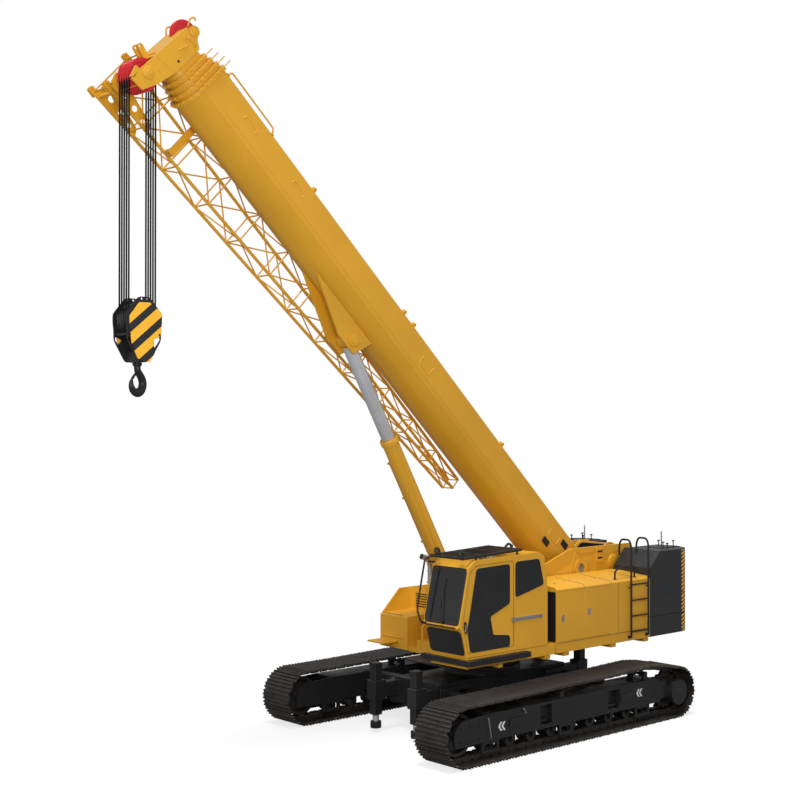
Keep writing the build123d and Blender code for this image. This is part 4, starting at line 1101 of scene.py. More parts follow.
def lock(x, y, z, side):
    """A flush lock: a bevelled frame with a sunk lever in it."""
    opening = rectangle(x - 0.026, x + 0.026, z - 0.038, z + 0.038)
    surround = rectangle(x - 0.04, x + 0.04, z - 0.055, z + 0.055)
    frame_part = plate(surround, "Y", y - side * 0.002, y + side * 0.004, [opening])
    handle = rectangle(x - 0.022, x + 0.022, z - 0.030, z + 0.018)
    lever = plate(handle, "Y", y - side * 0.001, y + side * 0.003)
    return join(frame_part, lever, lathe(LOCK_CAP, "Y", (x, y, z + 0.028), 16, False))


for name, side, front, rear, z0, z1, lock_z in DOOR_TABLE:
    made = lock(front - 0.115, side * HALF_W, lock_z, side)
    piece(name + "_lock", made, bare_steel, name, bevel=0.0012, segments=1)
    x, y = rear + 0.012, side * (HALF_W - 0.036)
    hinge_rods = [rod((x, y, z), (x, y, z + 0.09), 0.007, 10) for z in (z0 + 0.08, z1 - 0.17)]
    piece(name + "_hinges", join(*hinge_rods), black_trim_and_shade, name)
print("locks", len(DOOR_TABLE))

# %% Louvres
LOUVRE_X, LOUVRE_OUT = 0.385, 0.010  # face that carries the hoods, and how far they stand out
HOOD_Z = [1.955 + 0.046 * i for i in range(6)]


def louvre(y0, y1, z):
    """A pressed hood: its section is a low curved lip, closed towards both ends by a half sine."""
    y = np.linspace(y0, y1, 25)
    a = np.linspace(0, 1, 9)
    yy, aa = np.meshgrid(y, a, indexing="ij")
    swell = np.clip(np.sin(pi * (yy - y0) / (y1 - y0)) * 4, 0, 1) ** 0.7
    xx = LOUVRE_X + 0.0005 + LOUVRE_OUT * swell * np.sin(aa * pi / 2) ** 1.5
    zz = z + 0.018 * (1 - aa)
    front = np.stack([xx, yy, zz], -1)
    under = np.stack([np.full_like(y, LOUVRE_X - 0.002), y, np.full_like(y, z - 0.001)], -1)
    return grid(np.concatenate([front, under[:, None]], axis=1), False, True)


hoods = [louvre(-1.36, -0.86, z) for z in HOOD_Z]
# Black strips under the hoods: painted shade of the openings beneath them.
slots = [block(0.3835, 0.3862, -1.352, -0.868, z - 0.024, z) for z in HOOD_Z]
piece("louvre_hoods", join(*hoods), yellow, "superstructure", smooth=50)
piece("louvre_slot_shade", join(*slots), black_trim_and_shade, "superstructure")
print("louvres", len(hoods))

# %% Joints, bolts and the front box
JOINT, FINE_JOINT = 0.004, 0.003
ROOF_BOLTS = ((-0.62, 1.20), (-0.98, 1.10), (-1.30, 0.98), (-1.75, 1.18), (-2.35, 1.05))
BOX_PLUG = [(0.0, 0.012), (0.026, 0.012), (0.030, 0.008), (0.030, -0.004), (0.0, -0.004)]
BOX_HOLE = [(0.0, 0.001), (0.018, 0.001), (0.018, -0.003), (0.0, -0.003)]


def strip(path, w, h):
    """Flat trim bar of width w and height h carried along a path, as a four-sided tube."""
    path = np.asarray(path, float)
    made, faces = tube(path, 1.0, 4)
    centre = np.repeat(path, 4, axis=0)
    off = made - centre
    return centre + off / np.abs(off).max() * np.array([w, w, h]), faces


def dark_joint(points, w=JOINT):
    """A thin dark joint drawn as a strip that lies half in the panel."""
    return strip(points, w, w)


def roof_z(y):
    """Height of the left roof's slope: it rises by 60 mm from y = 1.45 to y = 0.78."""
    return 2.480 + (1.45 - y) / (1.45 - 0.78) * 0.060


joints = []
for x in (-1.110, -1.846, -2.62):
    over = [(x, 1.5, 2.41), (x, 1.5, 2.442), (x, 1.451, 2.481), (x, 0.80, roof_z(0.80))]
    joints.append(dark_joint(over))
joints.append(dark_joint([(-0.36, 1.5, 1.505), (-2.985, 1.5, 1.505)]))
joints.append(dark_joint([(-2.05, 1.5, 1.51), (-2.05, 1.5, 2.44)], FINE_JOINT))
joints.append(dark_joint([(0.40, -1.5, 1.505), (-2.985, -1.5, 1.505)]))
piece("panel_joints", join(*joints), black_trim_and_shade, "superstructure")
bolts = hexes([(x, y, roof_z(y) - 0.004) for x, y in ROOF_BOLTS], 0.016, 0.018, "Z")
piece("roof_bolts", bolts, bare_steel, "superstructure", bevel=0.001, segments=1)
front_lines = [dark_joint([(1.1405, -1.42, z), (1.1405, -0.88, z)]) for z in (1.885, 1.456)]
piece("front_box_joints", join(*front_lines), black_trim_and_shade, "superstructure")
plug = lathe(BOX_PLUG, "X", (1.14, -1.15, 1.826), 24, False)
piece("front_box_plug", plug, yellow, "superstructure")
# A thin black disc: painted shade of a small hole in the front box.
hole = lathe(BOX_HOLE, "X", (1.14, -1.123, 1.355), 20, False)
piece("front_box_hole_shade", hole, rubber_and_hole_shade, "superstructure")

# %% [markdown]
# ### Ladder, rails and exhaust
# Round bar bent over a former: the path's corners become short arcs and a circle is carried along.
# The exhaust is the same with a wider circle, and a dark disc in its end paints the shade inside the open
# pipe.

# %% Ladder and hand rails
LADDER_Y, RAIL_Y = HALF_W + 0.055, 1.42
rails = []
for x in (-2.36, -2.87):
    path = [(x, HALF_W - 0.02, 1.40), (x, LADDER_Y, 1.40), (x, LADDER_Y, 3.10), (x, LADDER_Y - 0.05, 3.20)]
    path += [(x, LADDER_Y - 0.23, 3.20), (x, LADDER_Y - 0.28, 3.10), (x, LADDER_Y - 0.28, 2.90)]
    rails.append(tube(rounded(path, 0.09, 6), 0.019, 14))
    rails.append(rod((x, HALF_W - 0.01, 2.315), (x, LADDER_Y, 2.315), 0.014))
    rails.append(rod((x, HALF_W - 0.01, 1.40), (x, HALF_W + 0.004, 1.40), 0.034, 18))
rails += [rod((-2.865, LADDER_Y, z), (-2.365, LADDER_Y, z), 0.0145, 14) for z in (1.50, 1.79, 2.08, 2.37)]
bend = ((-2.05, 2.478), (-2.05, 2.65), (-2.30, 2.70), (-2.62, 2.70), (-2.62, 2.478))
rails.append(tube(rounded([(x, RAIL_Y, z) for x, z in bend], 0.08, 6), 0.017, 12))
rails += [cylinder(x, RAIL_Y, 2.480, 0.036, 0.012) for x in (-2.05, -2.62)]
piece("ladder", join(*rails), black_trim_and_shade, "superstructure", "ladder_and_rails")
print("rails", len(rails))

# %% Exhaust
PIPE_X, PIPE_Y, PIPE_R = 0.2, -1.15, 0.055
PIPE_END, PIPE_WAY = (0.4262, PIPE_Y, 2.8807), (0.957, 0.0, 0.29)  # the pipe's open end and its way there
PIPE_CLAMP = [(0.056, 2.37), (0.075, 2.372), (0.075, 2.396), (0.056, 2.40)]
PIPE_BAND = [(0.054, 2.58), (0.060, 2.582), (0.060, 2.602), (0.054, 2.604)]
PIPE_RIM = [(0.050, -0.004), (0.0565, -0.004), (0.0565, 0.003), (0.050, 0.003)]


def exhaust():
    """A circle carried along a bent path, with a clamp, a band and a rim round its leaning end."""
    path = [(PIPE_X, PIPE_Y, 2.352), (PIPE_X, PIPE_Y, 2.70), (0.26, PIPE_Y, 2.83), (0.425, PIPE_Y, 2.88)]
    path = rounded(path, 0.16, 9)
    rings = [lathe(profile, "Z", (PIPE_X, PIPE_Y, 0), 32) for profile in (PIPE_CLAMP, PIPE_BAND)]
    way = path[-1] - path[-2]
    way /= np.linalg.norm(way)
    side = np.array([0.0, 1.0, 0.0])
    rim = moved(lathe(PIPE_RIM, "Z", (0, 0, 0), 32), (side, np.cross(way, side), way), path[-1])
    return join(tube(path, PIPE_R, 28), *rings, rim)


piece("exhaust", exhaust(), pipe_silver, "superstructure", "exhaust_pipe")
# A black disc on the pipe's capped end: painted shade of its hollow inside.
dark = moved(cylinder(0, 0, 0, 0.049, 0.001, 24), ((0, 1, 0), (-0.29, 0, 0.957), PIPE_WAY), PIPE_END)
piece("exhaust_mouth_shade", dark, rubber_and_hole_shade, "superstructure")
print("exhaust", PIPE_END)

# %% [markdown]
# ## Cab
# The cab is a pressed shell with dark bonded windows. The shell keeps its modelled walls with a
# generous radius. Each window gets a dark band printed round its edge, which follows the pane's own
# outline with rounded corners, and hides the sharp corners of the opening behind it.

# %% Shell, door and glass
softened("cab_shell", yellow, 0.014)
softened("cab_door", yellow, 0.006)
repaint(glass, "cab_glass")
CAB_IN, CAB_OUT = 0.64, 1.50
WIND_LOW, WIND_TOP = (2.046, 2.034), (1.828, 2.982)
FOOT_LOW, FOOT_TOP = (1.871, 1.503), (1.984, 1.941)
DOOR_GLASS = [(1.632, 2.952), (0.858, 2.975), (0.859, 2.332), (1.337, 2.153), (1.260, 1.817)]
DOOR_GLASS += [(0.859, 1.773), (0.860, 1.607), (1.778, 1.609), (1.850, 1.980), (1.800, 2.160)]
REAR_GLASS = [(0.692, 3.000), (0.116, 3.012), (0.004, 2.585), (0.693, 2.424)]
FAR_GLASS = [(0.860, 2.960), (1.640, 2.940), (1.780, 2.300), (1.700, 2.100), (0.860, 2.100)]
print("cab", round(CAB_OUT - CAB_IN, 2), "m wide")


# %% Outlines with soft corners
def soft_outline(points, radius, n=5):
    """Closed outline whose corners are arcs: (1-t)^2 a + 2t(1-t) corner + t^2 b at each corner."""
    points = np.asarray(points, float)
    t = np.linspace(0, 1, n + 1)[:, None]
    out = []
    for before, corner, after in zip(np.roll(points, 1, 0), points, np.roll(points, -1, 0)):
        one, two = before - corner, after - corner
        cut = min(radius, 0.4 * np.linalg.norm(one), 0.4 * np.linalg.norm(two))
        a = corner + one / np.linalg.norm(one) * cut
        b = corner + two / np.linalg.norm(two) * cut
        out.append((1 - t) ** 2 * a + 2 * t * (1 - t) * corner + t**2 * b)
    return np.vstack(out)


def grown(points, k):
    """Outline moved outwards by k along the mean of its two edge normals."""
    points = np.asarray(points, float)
    edge = np.roll(points, -1, 0) - points
    keep = np.linalg.norm(edge, axis=1) > 1e-6
    points, edge = points[keep], (np.roll(points[keep], -1, 0) - points[keep])
    edge /= np.linalg.norm(edge, axis=1)[:, None]
    area = np.sum(points[:, 0] * np.roll(points[:, 1], -1) - np.roll(points[:, 0], -1) * points[:, 1])
    normal = np.stack([edge[:, 1], -edge[:, 0]], 1) * np.sign(area)
    both = normal + np.roll(normal, 1, 0)
    both /= np.maximum(np.sum(both * normal, 1), 0.3)[:, None]
    return points + k * both


print("door line", len(DOOR_GLASS), "corners,", len(soft_outline(DOOR_GLASS, 0.05)), "points when soft")


# %% Panes and their seals
def window(points, place, lift, border):
    """A flat pane and the bead of rubber round it, both from one outline with soft corners."""
    outline = grown(soft_outline(points, 0.05), border)
    pane = plate(outline, "Z", -0.001, lift)
    bead_path = np.column_stack([outline, np.full(len(outline), lift * 0.5)])
    return moved(pane, *place), moved(tube(bead_path, 0.006, 6, closed=True), *place)


def sloped_window(a, b, t0, t1):
    """A pane on the line a-b of the side view: its plane has Y across and the line's direction up."""
    a, b = np.array(a), np.array(b)
    run = b - a
    length = np.hypot(*run)
    up = np.array([run[0], 0, run[1]]) / length
    outward = np.array([up[2], 0, -up[0]])
    shape = rectangle(CAB_IN + 0.035, CAB_OUT - 0.045, t0 * length, t1 * length)
    origin = (a[0] + outward[0] * 0.0005, 0, a[1] + outward[2] * 0.0005)
    return window(shape, (((0, 1, 0), up, outward), origin), 0.004, 0.016)


left_wall = ((1, 0, 0), (0, 0, 1), (0, 1, 0)), (0, CAB_OUT - 0.0025, 0)
inner_wall = ((1, 0, 0), (0, 0, 1), (0, -1, 0)), (0, CAB_IN + 0.0005, 0)
windows = [window(points, left_wall, 0.005, 0.012) for points in (DOOR_GLASS, REAR_GLASS)]
windows += [window(points, inner_wall, 0.004, 0.012) for points in (FAR_GLASS, REAR_GLASS)]
windows.append(sloped_window(WIND_LOW, WIND_TOP, 0.040, 0.975))
windows.append(sloped_window(FOOT_LOW, FOOT_TOP, 0.145, 0.985))
piece("window_panes", join(*[pane for pane, bead in windows]), glass, "superstructure", smooth=25)
piece("window_seals", join(*[bead for pane, bead in windows]), rubber_and_hole_shade, "superstructure")
print("windows", len(windows))


# %% Door joint, rail and handle
DOOR_LINE = [(0.750, 1.590), (1.845, 1.590), (1.935, 1.955), (1.975, 2.040), (1.790, 2.920)]
DOOR_LINE += [(1.650, 3.020), (0.750, 3.040)]
NOTCH = [(1.905, 1.90), (1.945, 2.03), (1.925, 2.13), (1.875, 2.10), (1.872, 1.93)]


def ring_strip(outline, y, w):
    """Thin raised line that follows a closed outline on a wall."""
    path = np.column_stack([outline[:, 0], np.full(len(outline), y), outline[:, 1]])
    return tube(path, w, 4, closed=True)


joint = ring_strip(soft_outline(DOOR_LINE, 0.06), CAB_OUT - 0.001, JOINT)
back_joint = dark_joint([(-0.112, CAB_OUT, 1.52), (-0.112, CAB_OUT, 2.46)], FINE_JOINT)
sill_joint = dark_joint([(-0.10, CAB_OUT, 1.513), (1.868, CAB_OUT, 1.513)], FINE_JOINT)
piece("door_joint", join(joint, back_joint, sill_joint), black_trim_and_shade, "superstructure")
slide_rail = block(0.03, 0.79, CAB_OUT - 0.001, CAB_OUT + 0.012, 2.012, 2.068)
groove = block(0.05, 0.77, CAB_OUT + 0.012, CAB_OUT + 0.017, 2.032, 2.048)
carriage = block(0.72, 0.80, CAB_OUT + 0.005, CAB_OUT + 0.030, 2.00, 2.08)
piece("door_rail", join(slide_rail, groove, carriage), bare_steel, "superstructure", bevel=0.003)
# A flat black outline on the wall: painted shade of the handle's yellow recess.
recess = plate(soft_outline(NOTCH, 0.02), "Y", CAB_OUT - 0.002, CAB_OUT + 0.0015)
lever = rod((1.905, CAB_OUT + 0.006, 1.95), (1.912, CAB_OUT + 0.006, 2.07), 0.011, 12)
piece("door_handle_recess_shade", recess, black_trim_and_shade, "superstructure")
piece("door_handle", lever, bare_steel, "superstructure")
print("door fittings", 4)

# %% Steps round the cab
STEP_X0, STEP_X1 = 0.45, 1.95
LIP_LOW, STEP_LOW, STEP_TOP = 1.390, 1.455, 1.479
side_step = [block(STEP_X0, STEP_X1, CAB_OUT - 0.14, CAB_OUT + 0.13, STEP_LOW, STEP_TOP)]
side_step.append(block(1.84, STEP_X1, 0.46, CAB_OUT - 0.14, STEP_LOW, STEP_TOP))
side_step.append(block(STEP_X0, STEP_X1, CAB_OUT + 0.115, CAB_OUT + 0.13, LIP_LOW, STEP_LOW))
side_step.append(block(1.935, STEP_X1, 0.46, CAB_OUT + 0.115, LIP_LOW, STEP_LOW))
for x in [0.49 + 0.1 * i for i in range(14)]:
    side_step.append(block(x, x + 0.06, CAB_OUT + 0.02, CAB_OUT + 0.11, STEP_TOP, STEP_TOP + 0.006))
piece("side_step", join(*side_step), black_trim_and_shade, "superstructure", bevel=0.003, segments=1)
front_edge = strip([(1.14, 0.0, 1.316), (1.885, 0.0, 1.316)], 0.006, 0.006)
tread_places = [(1.20 + 0.08 * i, 0.48, 1.315) for i in range(8)]
treads = copies(block(-0.02, 0.02, -0.42, 0.42, 0.0, 0.006), tread_places)
piece("front_treads", join(front_edge, treads), black_trim_and_shade, "superstructure", bevel=0.0015, segments=1)
print("treads", len(tread_places))


# %% Wiper, cross bar and front rail
def on_screen(t, y, out):
    """Point at share t of the windscreen's line, at width y, and out from the glass."""
    a, b = np.array(WIND_LOW), np.array(WIND_TOP)
    run = (b - a) / np.hypot(*(b - a))
    place = a + (b - a) * t
    return np.array([place[0] + run[1] * out, y, place[1] - run[0] * out])


arm = rod(on_screen(0.06, 1.10, 0.03), on_screen(0.55, 1.02, 0.028), 0.008, 10)
blade = rod(on_screen(0.30, 1.00, 0.016), on_screen(0.80, 1.03, 0.016), 0.007, 8)
motor = lathe([(0.0, 0.0), (0.03, 0.0), (0.03, 0.03), (0.0, 0.034)], "Z", (0, 0, 0), 20, False)
motor = moved(motor, ((0, 1, 0), (-0.22, 0, 0.975), (0.975, 0, 0.22)), on_screen(0.06, 1.10, 0.004))
piece("wiper", join(arm, blade, motor), black_trim_and_shade, "superstructure", bevel=0.001, segments=1)
bar = block(1.985, 2.060, CAB_IN + 0.03, CAB_OUT - 0.03, 1.998, 2.034)
piece("screen_bar", bar, yellow, "superstructure", bevel=0.012)
y0, y1 = CAB_IN + 0.01, CAB_OUT - 0.09
bar_rail = [on_screen(-0.02, y, out) for y, out in ((y0, 0.02), (y0, 0.06), (y1, 0.06), (y1, 0.0))]
piece("screen_rail", tube(rounded(bar_rail, 0.03), 0.012, 10), black_trim_and_shade, "superstructure")
print("screen fittings", 3)


# %% Roof guard
def guard_z(x):
    """Height of the grating: it falls by 60 mm from x = 0.52 to x = 1.90."""
    return 3.205 - (x - 0.52) / 1.38 * 0.060


def cab_roof_z(x):
    """Height a little under the cab's roof, which falls by 40 mm over 1.576 m."""
    return 3.098 + (1.690 - x) / 1.576 * 0.04


def guard():
    """Roof grating: two side bars, four cross bars and round bars between, on four short posts."""
    y0, y1 = CAB_IN + 0.04, CAB_OUT - 0.06
    made = [tube([(0.50, y, guard_z(0.50)), (1.92, y, guard_z(1.92))], 0.026, 12) for y in (y0, y1)]
    for x in (0.52, 0.98, 1.44, 1.90):
        made.append(tube([(x, y0, guard_z(x)), (x, y1, guard_z(x))], 0.023, 12))
    for i in range(1, 12):
        y = y0 + (y1 - y0) * i / 12
        made.append(tube([(0.52, y, guard_z(0.52) + 0.012), (1.90, y, guard_z(1.90) + 0.012)], 0.006, 8))
    for x in (0.60, 1.60):
        made += [rod((x, y, cab_roof_z(x)), (x, y, guard_z(x)), 0.018, 12) for y in (y0, y1)]
    corner = [(1.90, y0 + 0.02, 3.140), (2.00, y0 - 0.05, 3.10), (2.18, y0 - 0.06, 2.25)]
    corner += [(2.15, y0 + 0.01, 2.05), (2.045, y0 + 0.02, 2.03)]
    made.append(tube(rounded(corner, 0.10, 6), 0.017, 12))
    made.append(rod((1.96, y0 - 0.02, 3.05), (1.80, y0 - 0.02, 3.03), 0.013, 10))
    return join(*made)


piece("roof_guard", guard(), black_trim_and_shade, "superstructure", "cab_roof_guard")
print("guard", round(guard_z(0.52), 3), "m high at its rear")

# %% Work lamps and horn
BOWL = [(0.0, -0.05), (0.03, -0.048), (0.052, -0.02), (0.056, 0.02), (0.050, 0.02), (0.048, 0.006)]
BOWL += [(0.0, 0.006)]
LAMP_FRONT = [(0.0, 0.007), (0.046, 0.007), (0.046, 0.011), (0.0, 0.014)]
HORN_FOOT = [(0.0, 0.0), (0.05, 0.0), (0.045, 0.03), (0.03, 0.05), (0.03, 0.13), (0.0, 0.14)]


def work_lamp(x, y, z):
    """Lamp as a lathe: deep bowl, rim, a set-back lens and a yoke under it."""
    bowl = lathe(BOWL, "X", (x, y, z), 24, False)
    arch = [(x - 0.01, y - 0.062, z), (x - 0.01, y - 0.062, z - 0.07)]
    arch += [(x - 0.01, y + 0.062, z - 0.07), (x - 0.01, y + 0.062, z)]
    yoke = tube(rounded(arch, 0.02), 0.007, 8)
    return join(bowl, yoke), lathe(LAMP_FRONT, "X", (x, y, z), 24, False)


lamps = [work_lamp(1.86, y, 3.235) for y in (CAB_IN + 0.14, CAB_OUT - 0.16)]
piece("work_lamps", join(*[a for a, b in lamps]), black_trim_and_shade, "superstructure")
piece("lamp_lenses", join(*[b for a, b in lamps]), lens, "superstructure")
y = CAB_IN + 0.12
horn_foot = lathe(HORN_FOOT, "Z", (0.02, y, 3.08), 24, False)
horn = tube(rounded([(0.02, y, 3.20), (0.10, y, 3.24), (0.18, y, 3.18)], 0.03), 0.022, 12)
piece("roof_horn", join(horn_foot, horn), black_trim_and_shade, "superstructure", bevel=0.002)
print("lamps", len(lamps))

# %% [markdown]
# ### Operator's chair
# A chair is foam under cloth, so it bulges between its edges. Each cushion is a rounded box surface:
# a sphere's directions pushed towards a cube by a power, which swells the faces and keeps the seams.


# %% Cushions
def cushion(centre, size, lean=0.0, power=0.42, n=40):
    """Point = size * sign(d) |d|^power for sphere directions d, then leaned about Y and placed."""
    th = np.linspace(0, pi, n)
    ph = np.linspace(0, tau, 2 * n, endpoint=False)
    tt, pp = np.meshgrid(th[1:-1], ph, indexing="ij")
    d = np.stack([np.sin(tt) * np.cos(pp), np.sin(tt) * np.sin(pp), np.cos(tt)], -1)
    p = np.sign(d) * np.abs(d) ** power * np.asarray(size) / 2
    pts, faces = grid(p, False, True)
    cols, rows = 2 * n, n - 2
    poles = np.array([[0, 0, size[2] / 2], [0, 0, -size[2] / 2]])
    k = len(pts)
    j = np.arange(cols)
    top = np.stack([np.full(cols, k), j, np.roll(j, -1)], 1)
    low = np.stack([np.full(cols, k + 1), (rows - 1) * cols + np.roll(j, -1), (rows - 1) * cols + j], 1)
    pts = np.vstack([pts, poles])
    turn = np.array([[cos(lean), 0, -sin(lean)], [0, 1, 0], [sin(lean), 0, cos(lean)]])
    return pts @ turn + np.asarray(centre), [*faces, top, low]


ARM_Y = (0.785, 1.355)
seat_form = cushion((0.725, 1.07, 1.905), (0.55, 0.47, 0.15))
seat = piece("chair_cushion", seat_form, cloth, "superstructure", "operator_chair")
back_form = cushion((0.475, 1.07, 2.32), (0.15, 0.42, 0.72), lean=0.16)
back = piece("chair_back", back_form, cloth, "superstructure")
rest_form = cushion((0.40, 1.07, 2.82), (0.11, 0.24, 0.16), lean=0.08)
rest = piece("chair_head_rest", rest_form, cloth, "superstructure")
arms = [cushion((0.785, y, 2.07), (0.53, 0.07, 0.08), power=0.3, n=20) for y in ARM_Y]
arm_pads = piece("chair_arm_pads", join(*arms), cloth, "superstructure")
print("cushions", 3 + len(arms))

# %% Frame and levers of the chair
KNOB = [(0.0, 2.20), (0.018, 2.21), (0.024, 2.25), (0.016, 2.29), (0.0, 2.30)]
base = [block(0.56, 0.94, 0.89, 1.25, 1.56, 1.62), block(0.62, 0.88, 0.95, 1.19, 1.62, 1.80)]
base.append(block(0.47, 0.98, 0.85, 1.29, 1.80, 1.85))
base += [block(0.54, 0.68, y, y + 0.054, 1.85, 2.04) for y in (0.758, 1.328)]
base.append(rod((0.41, 1.07, 2.66), (0.40, 1.07, 2.78), 0.014))
levers = [rod((0.98, y, 2.10), (1.00, y, 2.22), 0.012) for y in ARM_Y]
levers += [lathe(KNOB, "Z", (1.0, y, 0), 20, False) for y in ARM_Y]
piece("chair_frame", join(*base, *levers), black_trim_and_shade, "superstructure", bevel=0.006)
print("levers", len(ARM_Y))


# %% [markdown]
# ## Boom
# The boom's sections are folded from thin plate: flat above, half round below, one sliding in the
# next. They keep their modelled shape with softened edges. Round each section's front collar stand
# the adjusters of its wear pads, so one block is copied at equal steps of arc along the collar.

# %% Boom sections
PIVOT = np.array([-2.100, 0.0, 2.620])
BOOM_DEG = 43.7
U = np.array([cos(radians(BOOM_DEG)), 0.0, sin(radians(BOOM_DEG))])
V = np.array([0.0, 1.0, 0.0])
W = np.array([-sin(radians(BOOM_DEG)), 0.0, cos(radians(BOOM_DEG))])
STEP_IN, HALF, UP, DOWN = 0.028, 0.370, 0.366, 0.463
FRONT, COLLAR_STEP, COLLAR_T = 11.470, 0.100, 0.026
SECTIONS = ("boom_base", "boom_section_2", "boom_section_3", "boom_section_4")


def on_boom(solid):
    """Boom frame (along, left, up) to the machine's frame."""
    return moved(solid, (U, V, W), PIVOT)


for name in (*SECTIONS, "boom_head"):
    softened(name, yellow, 0.005)
softened("jib_brackets", yellow, 0.004)
repaint(bare_steel, "boom_pin", "head_axle", "lift_foot_pin")
print("sections", len(SECTIONS) + 1)


# %% Adjusters round the collars
def collar_stations(inset, steps):
    """Places and outward directions on the section's half-round belly and its two flat sides."""
    half, up, down = HALF - inset, UP - inset, DOWN - inset
    t = np.linspace(0, pi, steps)
    belly = np.stack([-half * np.cos(t), half - down - half * np.sin(t)], 1)
    out = np.stack([-np.cos(t), -np.sin(t)], 1)
    w = np.linspace(half - down + 0.11, up - 0.10, 4)
    sides = np.concatenate([np.stack([np.full(4, s * half), w], 1) for s in (-1, 1)])
    side_out = np.concatenate([np.tile([s, 0.0], (4, 1)) for s in (-1, 1)])
    return np.vstack([belly, sides]), np.vstack([out, side_out])


def adjusters(inset, u):
    """Blocks with a bolt on the collar's outer face; each turned so that its own up is outward."""
    at, out = collar_stations(inset - COLLAR_T + 0.004, 11)
    pad = block(-0.020, 0.020, -0.034, 0.034, -0.006, 0.016)
    one = join(pad, rod((0, 0, 0.012), (0, 0, 0.036), 0.009, 8))
    turn = np.zeros((len(at), 3, 3))
    turn[:, 0, 0] = 1
    turn[:, 1, 1], turn[:, 2, 1] = -out[:, 1], out[:, 0]
    turn[:, 1, 2], turn[:, 2, 2] = out[:, 0], out[:, 1]
    spots = np.column_stack([np.full(len(at), u - COLLAR_T), at])
    return copies(one, spots, turn)


def long_pins(inset, u):
    """Two threaded pins that stand up past the top at the collar's corners, with a nut on each."""
    top = UP - inset
    made = []
    for side in (1, -1):
        v = side * (HALF - inset + 0.030)
        made.append(rod((u - 0.02, v, top - 0.14), (u - 0.02, v, top + 0.15), 0.010, 10))
        nut = v - 0.022 * side
        made.append(block(u - 0.045, u + 0.005, nut - 0.012, nut + 0.034, top - 0.12, top - 0.05))
    return join(*made)


for k, body in enumerate(SECTIONS):
    inset, u = STEP_IN * k, FRONT + COLLAR_STEP * k
    ring = join(adjusters(inset, u), long_pins(inset, u))
    piece("collar_adjusters_%d" % (k + 1), on_boom(ring), yellow, body, bevel=0.0015, segments=1)
print("collars", len(SECTIONS))

# %% [markdown]
# ### Rails, seams and handles on the base section
# Welds show as faint raised lines, because two plates meet there. They are thin strips laid on the
# skin. The hose guard over the top is a long bent bar.


# %% Base section fittings
HANDLES = [[(10.38, 0.104), (10.386, 0.160), (10.66, 0.178), (10.677, 0.099)]]
HANDLES.append([(9.10, 0.10), (9.106, 0.158), (9.38, 0.174), (9.396, 0.10)])
LUG = [(0.012, -0.055), (0.026, -0.055), (0.026, 0.055), (0.012, 0.055)]


def raised(points, v, w):
    """A thin bar on the boom's side, at the place v to the left; points are (along, up)."""
    return strip([(a, v, b) for a, b in points], w, w)


lines = []
for side in (1, -1):
    v = side * HALF
    lines.append(raised([(-0.15, -0.093), (11.38, -0.093)], v, 0.0035))
    lines += [raised(rounded(points, 0.03), v, 0.009) for points in HANDLES]
    for u0 in (0.67, 5.2):
        cup = [(u0, 0.15), (u0 + 0.01, -0.02), (u0 + 0.30, -0.02), (u0 + 0.31, 0.15)]
        lines.append(raised(rounded(cup, 0.04), v, 0.007))
piece("boom_welds", on_boom(join(*lines)), yellow, "boom_base")
guard_bar = [(11.30, 0.335, 0.366), (11.28, 0.335, 0.450), (10.20, 0.335, 0.452), (10.15, 0.335, 0.366)]
hose_guard = [tube(rounded(guard_bar, 0.06), 0.014, 12)]
hose_guard += [block(u - 0.03, u + 0.03, 0.315, 0.355, 0.360, 0.372) for u in (11.30, 10.15)]
piece("hose_guard", on_boom(join(*hose_guard)), yellow, "boom_base", bevel=0.001, segments=1)
# Two openings in each side of the boom's foot, as flat black plates: painted shade inside them.
foot_holes = []
for u0, w0 in ((0.83, -0.21), (0.39, 0.08)):
    rim = soft_outline(rectangle(u0, u0 + 0.20, w0, w0 + 0.13), 0.02)
    foot_holes += [plate(rim, "Y", side * (HALF - 0.001), side * (HALF + 0.0008)) for side in (1, -1)]
piece("foot_window_shade", on_boom(join(*foot_holes)), black_trim_and_shade, "boom_base")
lugs = [lathe(LUG, "Y", (u, 0.285, 0.408), 20) for u in (3.00, 6.00, 6.30, 9.00)]
piece("top_lugs", on_boom(join(*lugs)), yellow, "boom_base")
print("welds and handles", len(lines), "lugs", len(lugs))

# %% [markdown]
# ### Boom head
# The head carries two sets of rope sheaves between two plates. A sheave is a pure lathe form: rim,
# groove, web and hub. The groove's floor is a half circle, so the rope would lie in it snugly.


# %% Sheaves
HEAD_X, HEAD_Z, BLOCK_Z = 7.190, 10.500, 6.915
GUIDE_X, GUIDE_Z = 6.400, 11.250
ROPE_STEP = 0.066  # from groove to groove along the axle


def sheave(rim, floor, half, bore, y):
    """Profile of (radius, width): hub, thin web, rim, rounded groove and back the same way."""
    t = np.linspace(-0.42 * pi, 0.42 * pi, 9)
    groove = [(floor + 0.011 - 0.012 * cos(a), 0.012 * sin(a)) for a in t]
    side = [(bore, half), (bore + 0.045, half), (bore + 0.055, 0.010), (floor - 0.035, 0.010)]
    side += [(floor - 0.020, half - 0.008), (rim - 0.004, half - 0.004), (rim, half - 0.009)]
    return [(r, y + w) for r, w in [*[(a, -b) for a, b in side], *groove, *reversed(side)]]


def sheave_set(x, z, count, rim, floor, bore):
    """Equal sheaves side by side on one axle."""
    places = [(i - (count - 1) / 2) * ROPE_STEP for i in range(count)]
    profiles = [sheave(rim, floor, ROPE_STEP / 2 - 0.0015, bore, y) for y in places]
    return join(*[lathe(profile, "Y", (x, 0, z), 56) for profile in profiles])


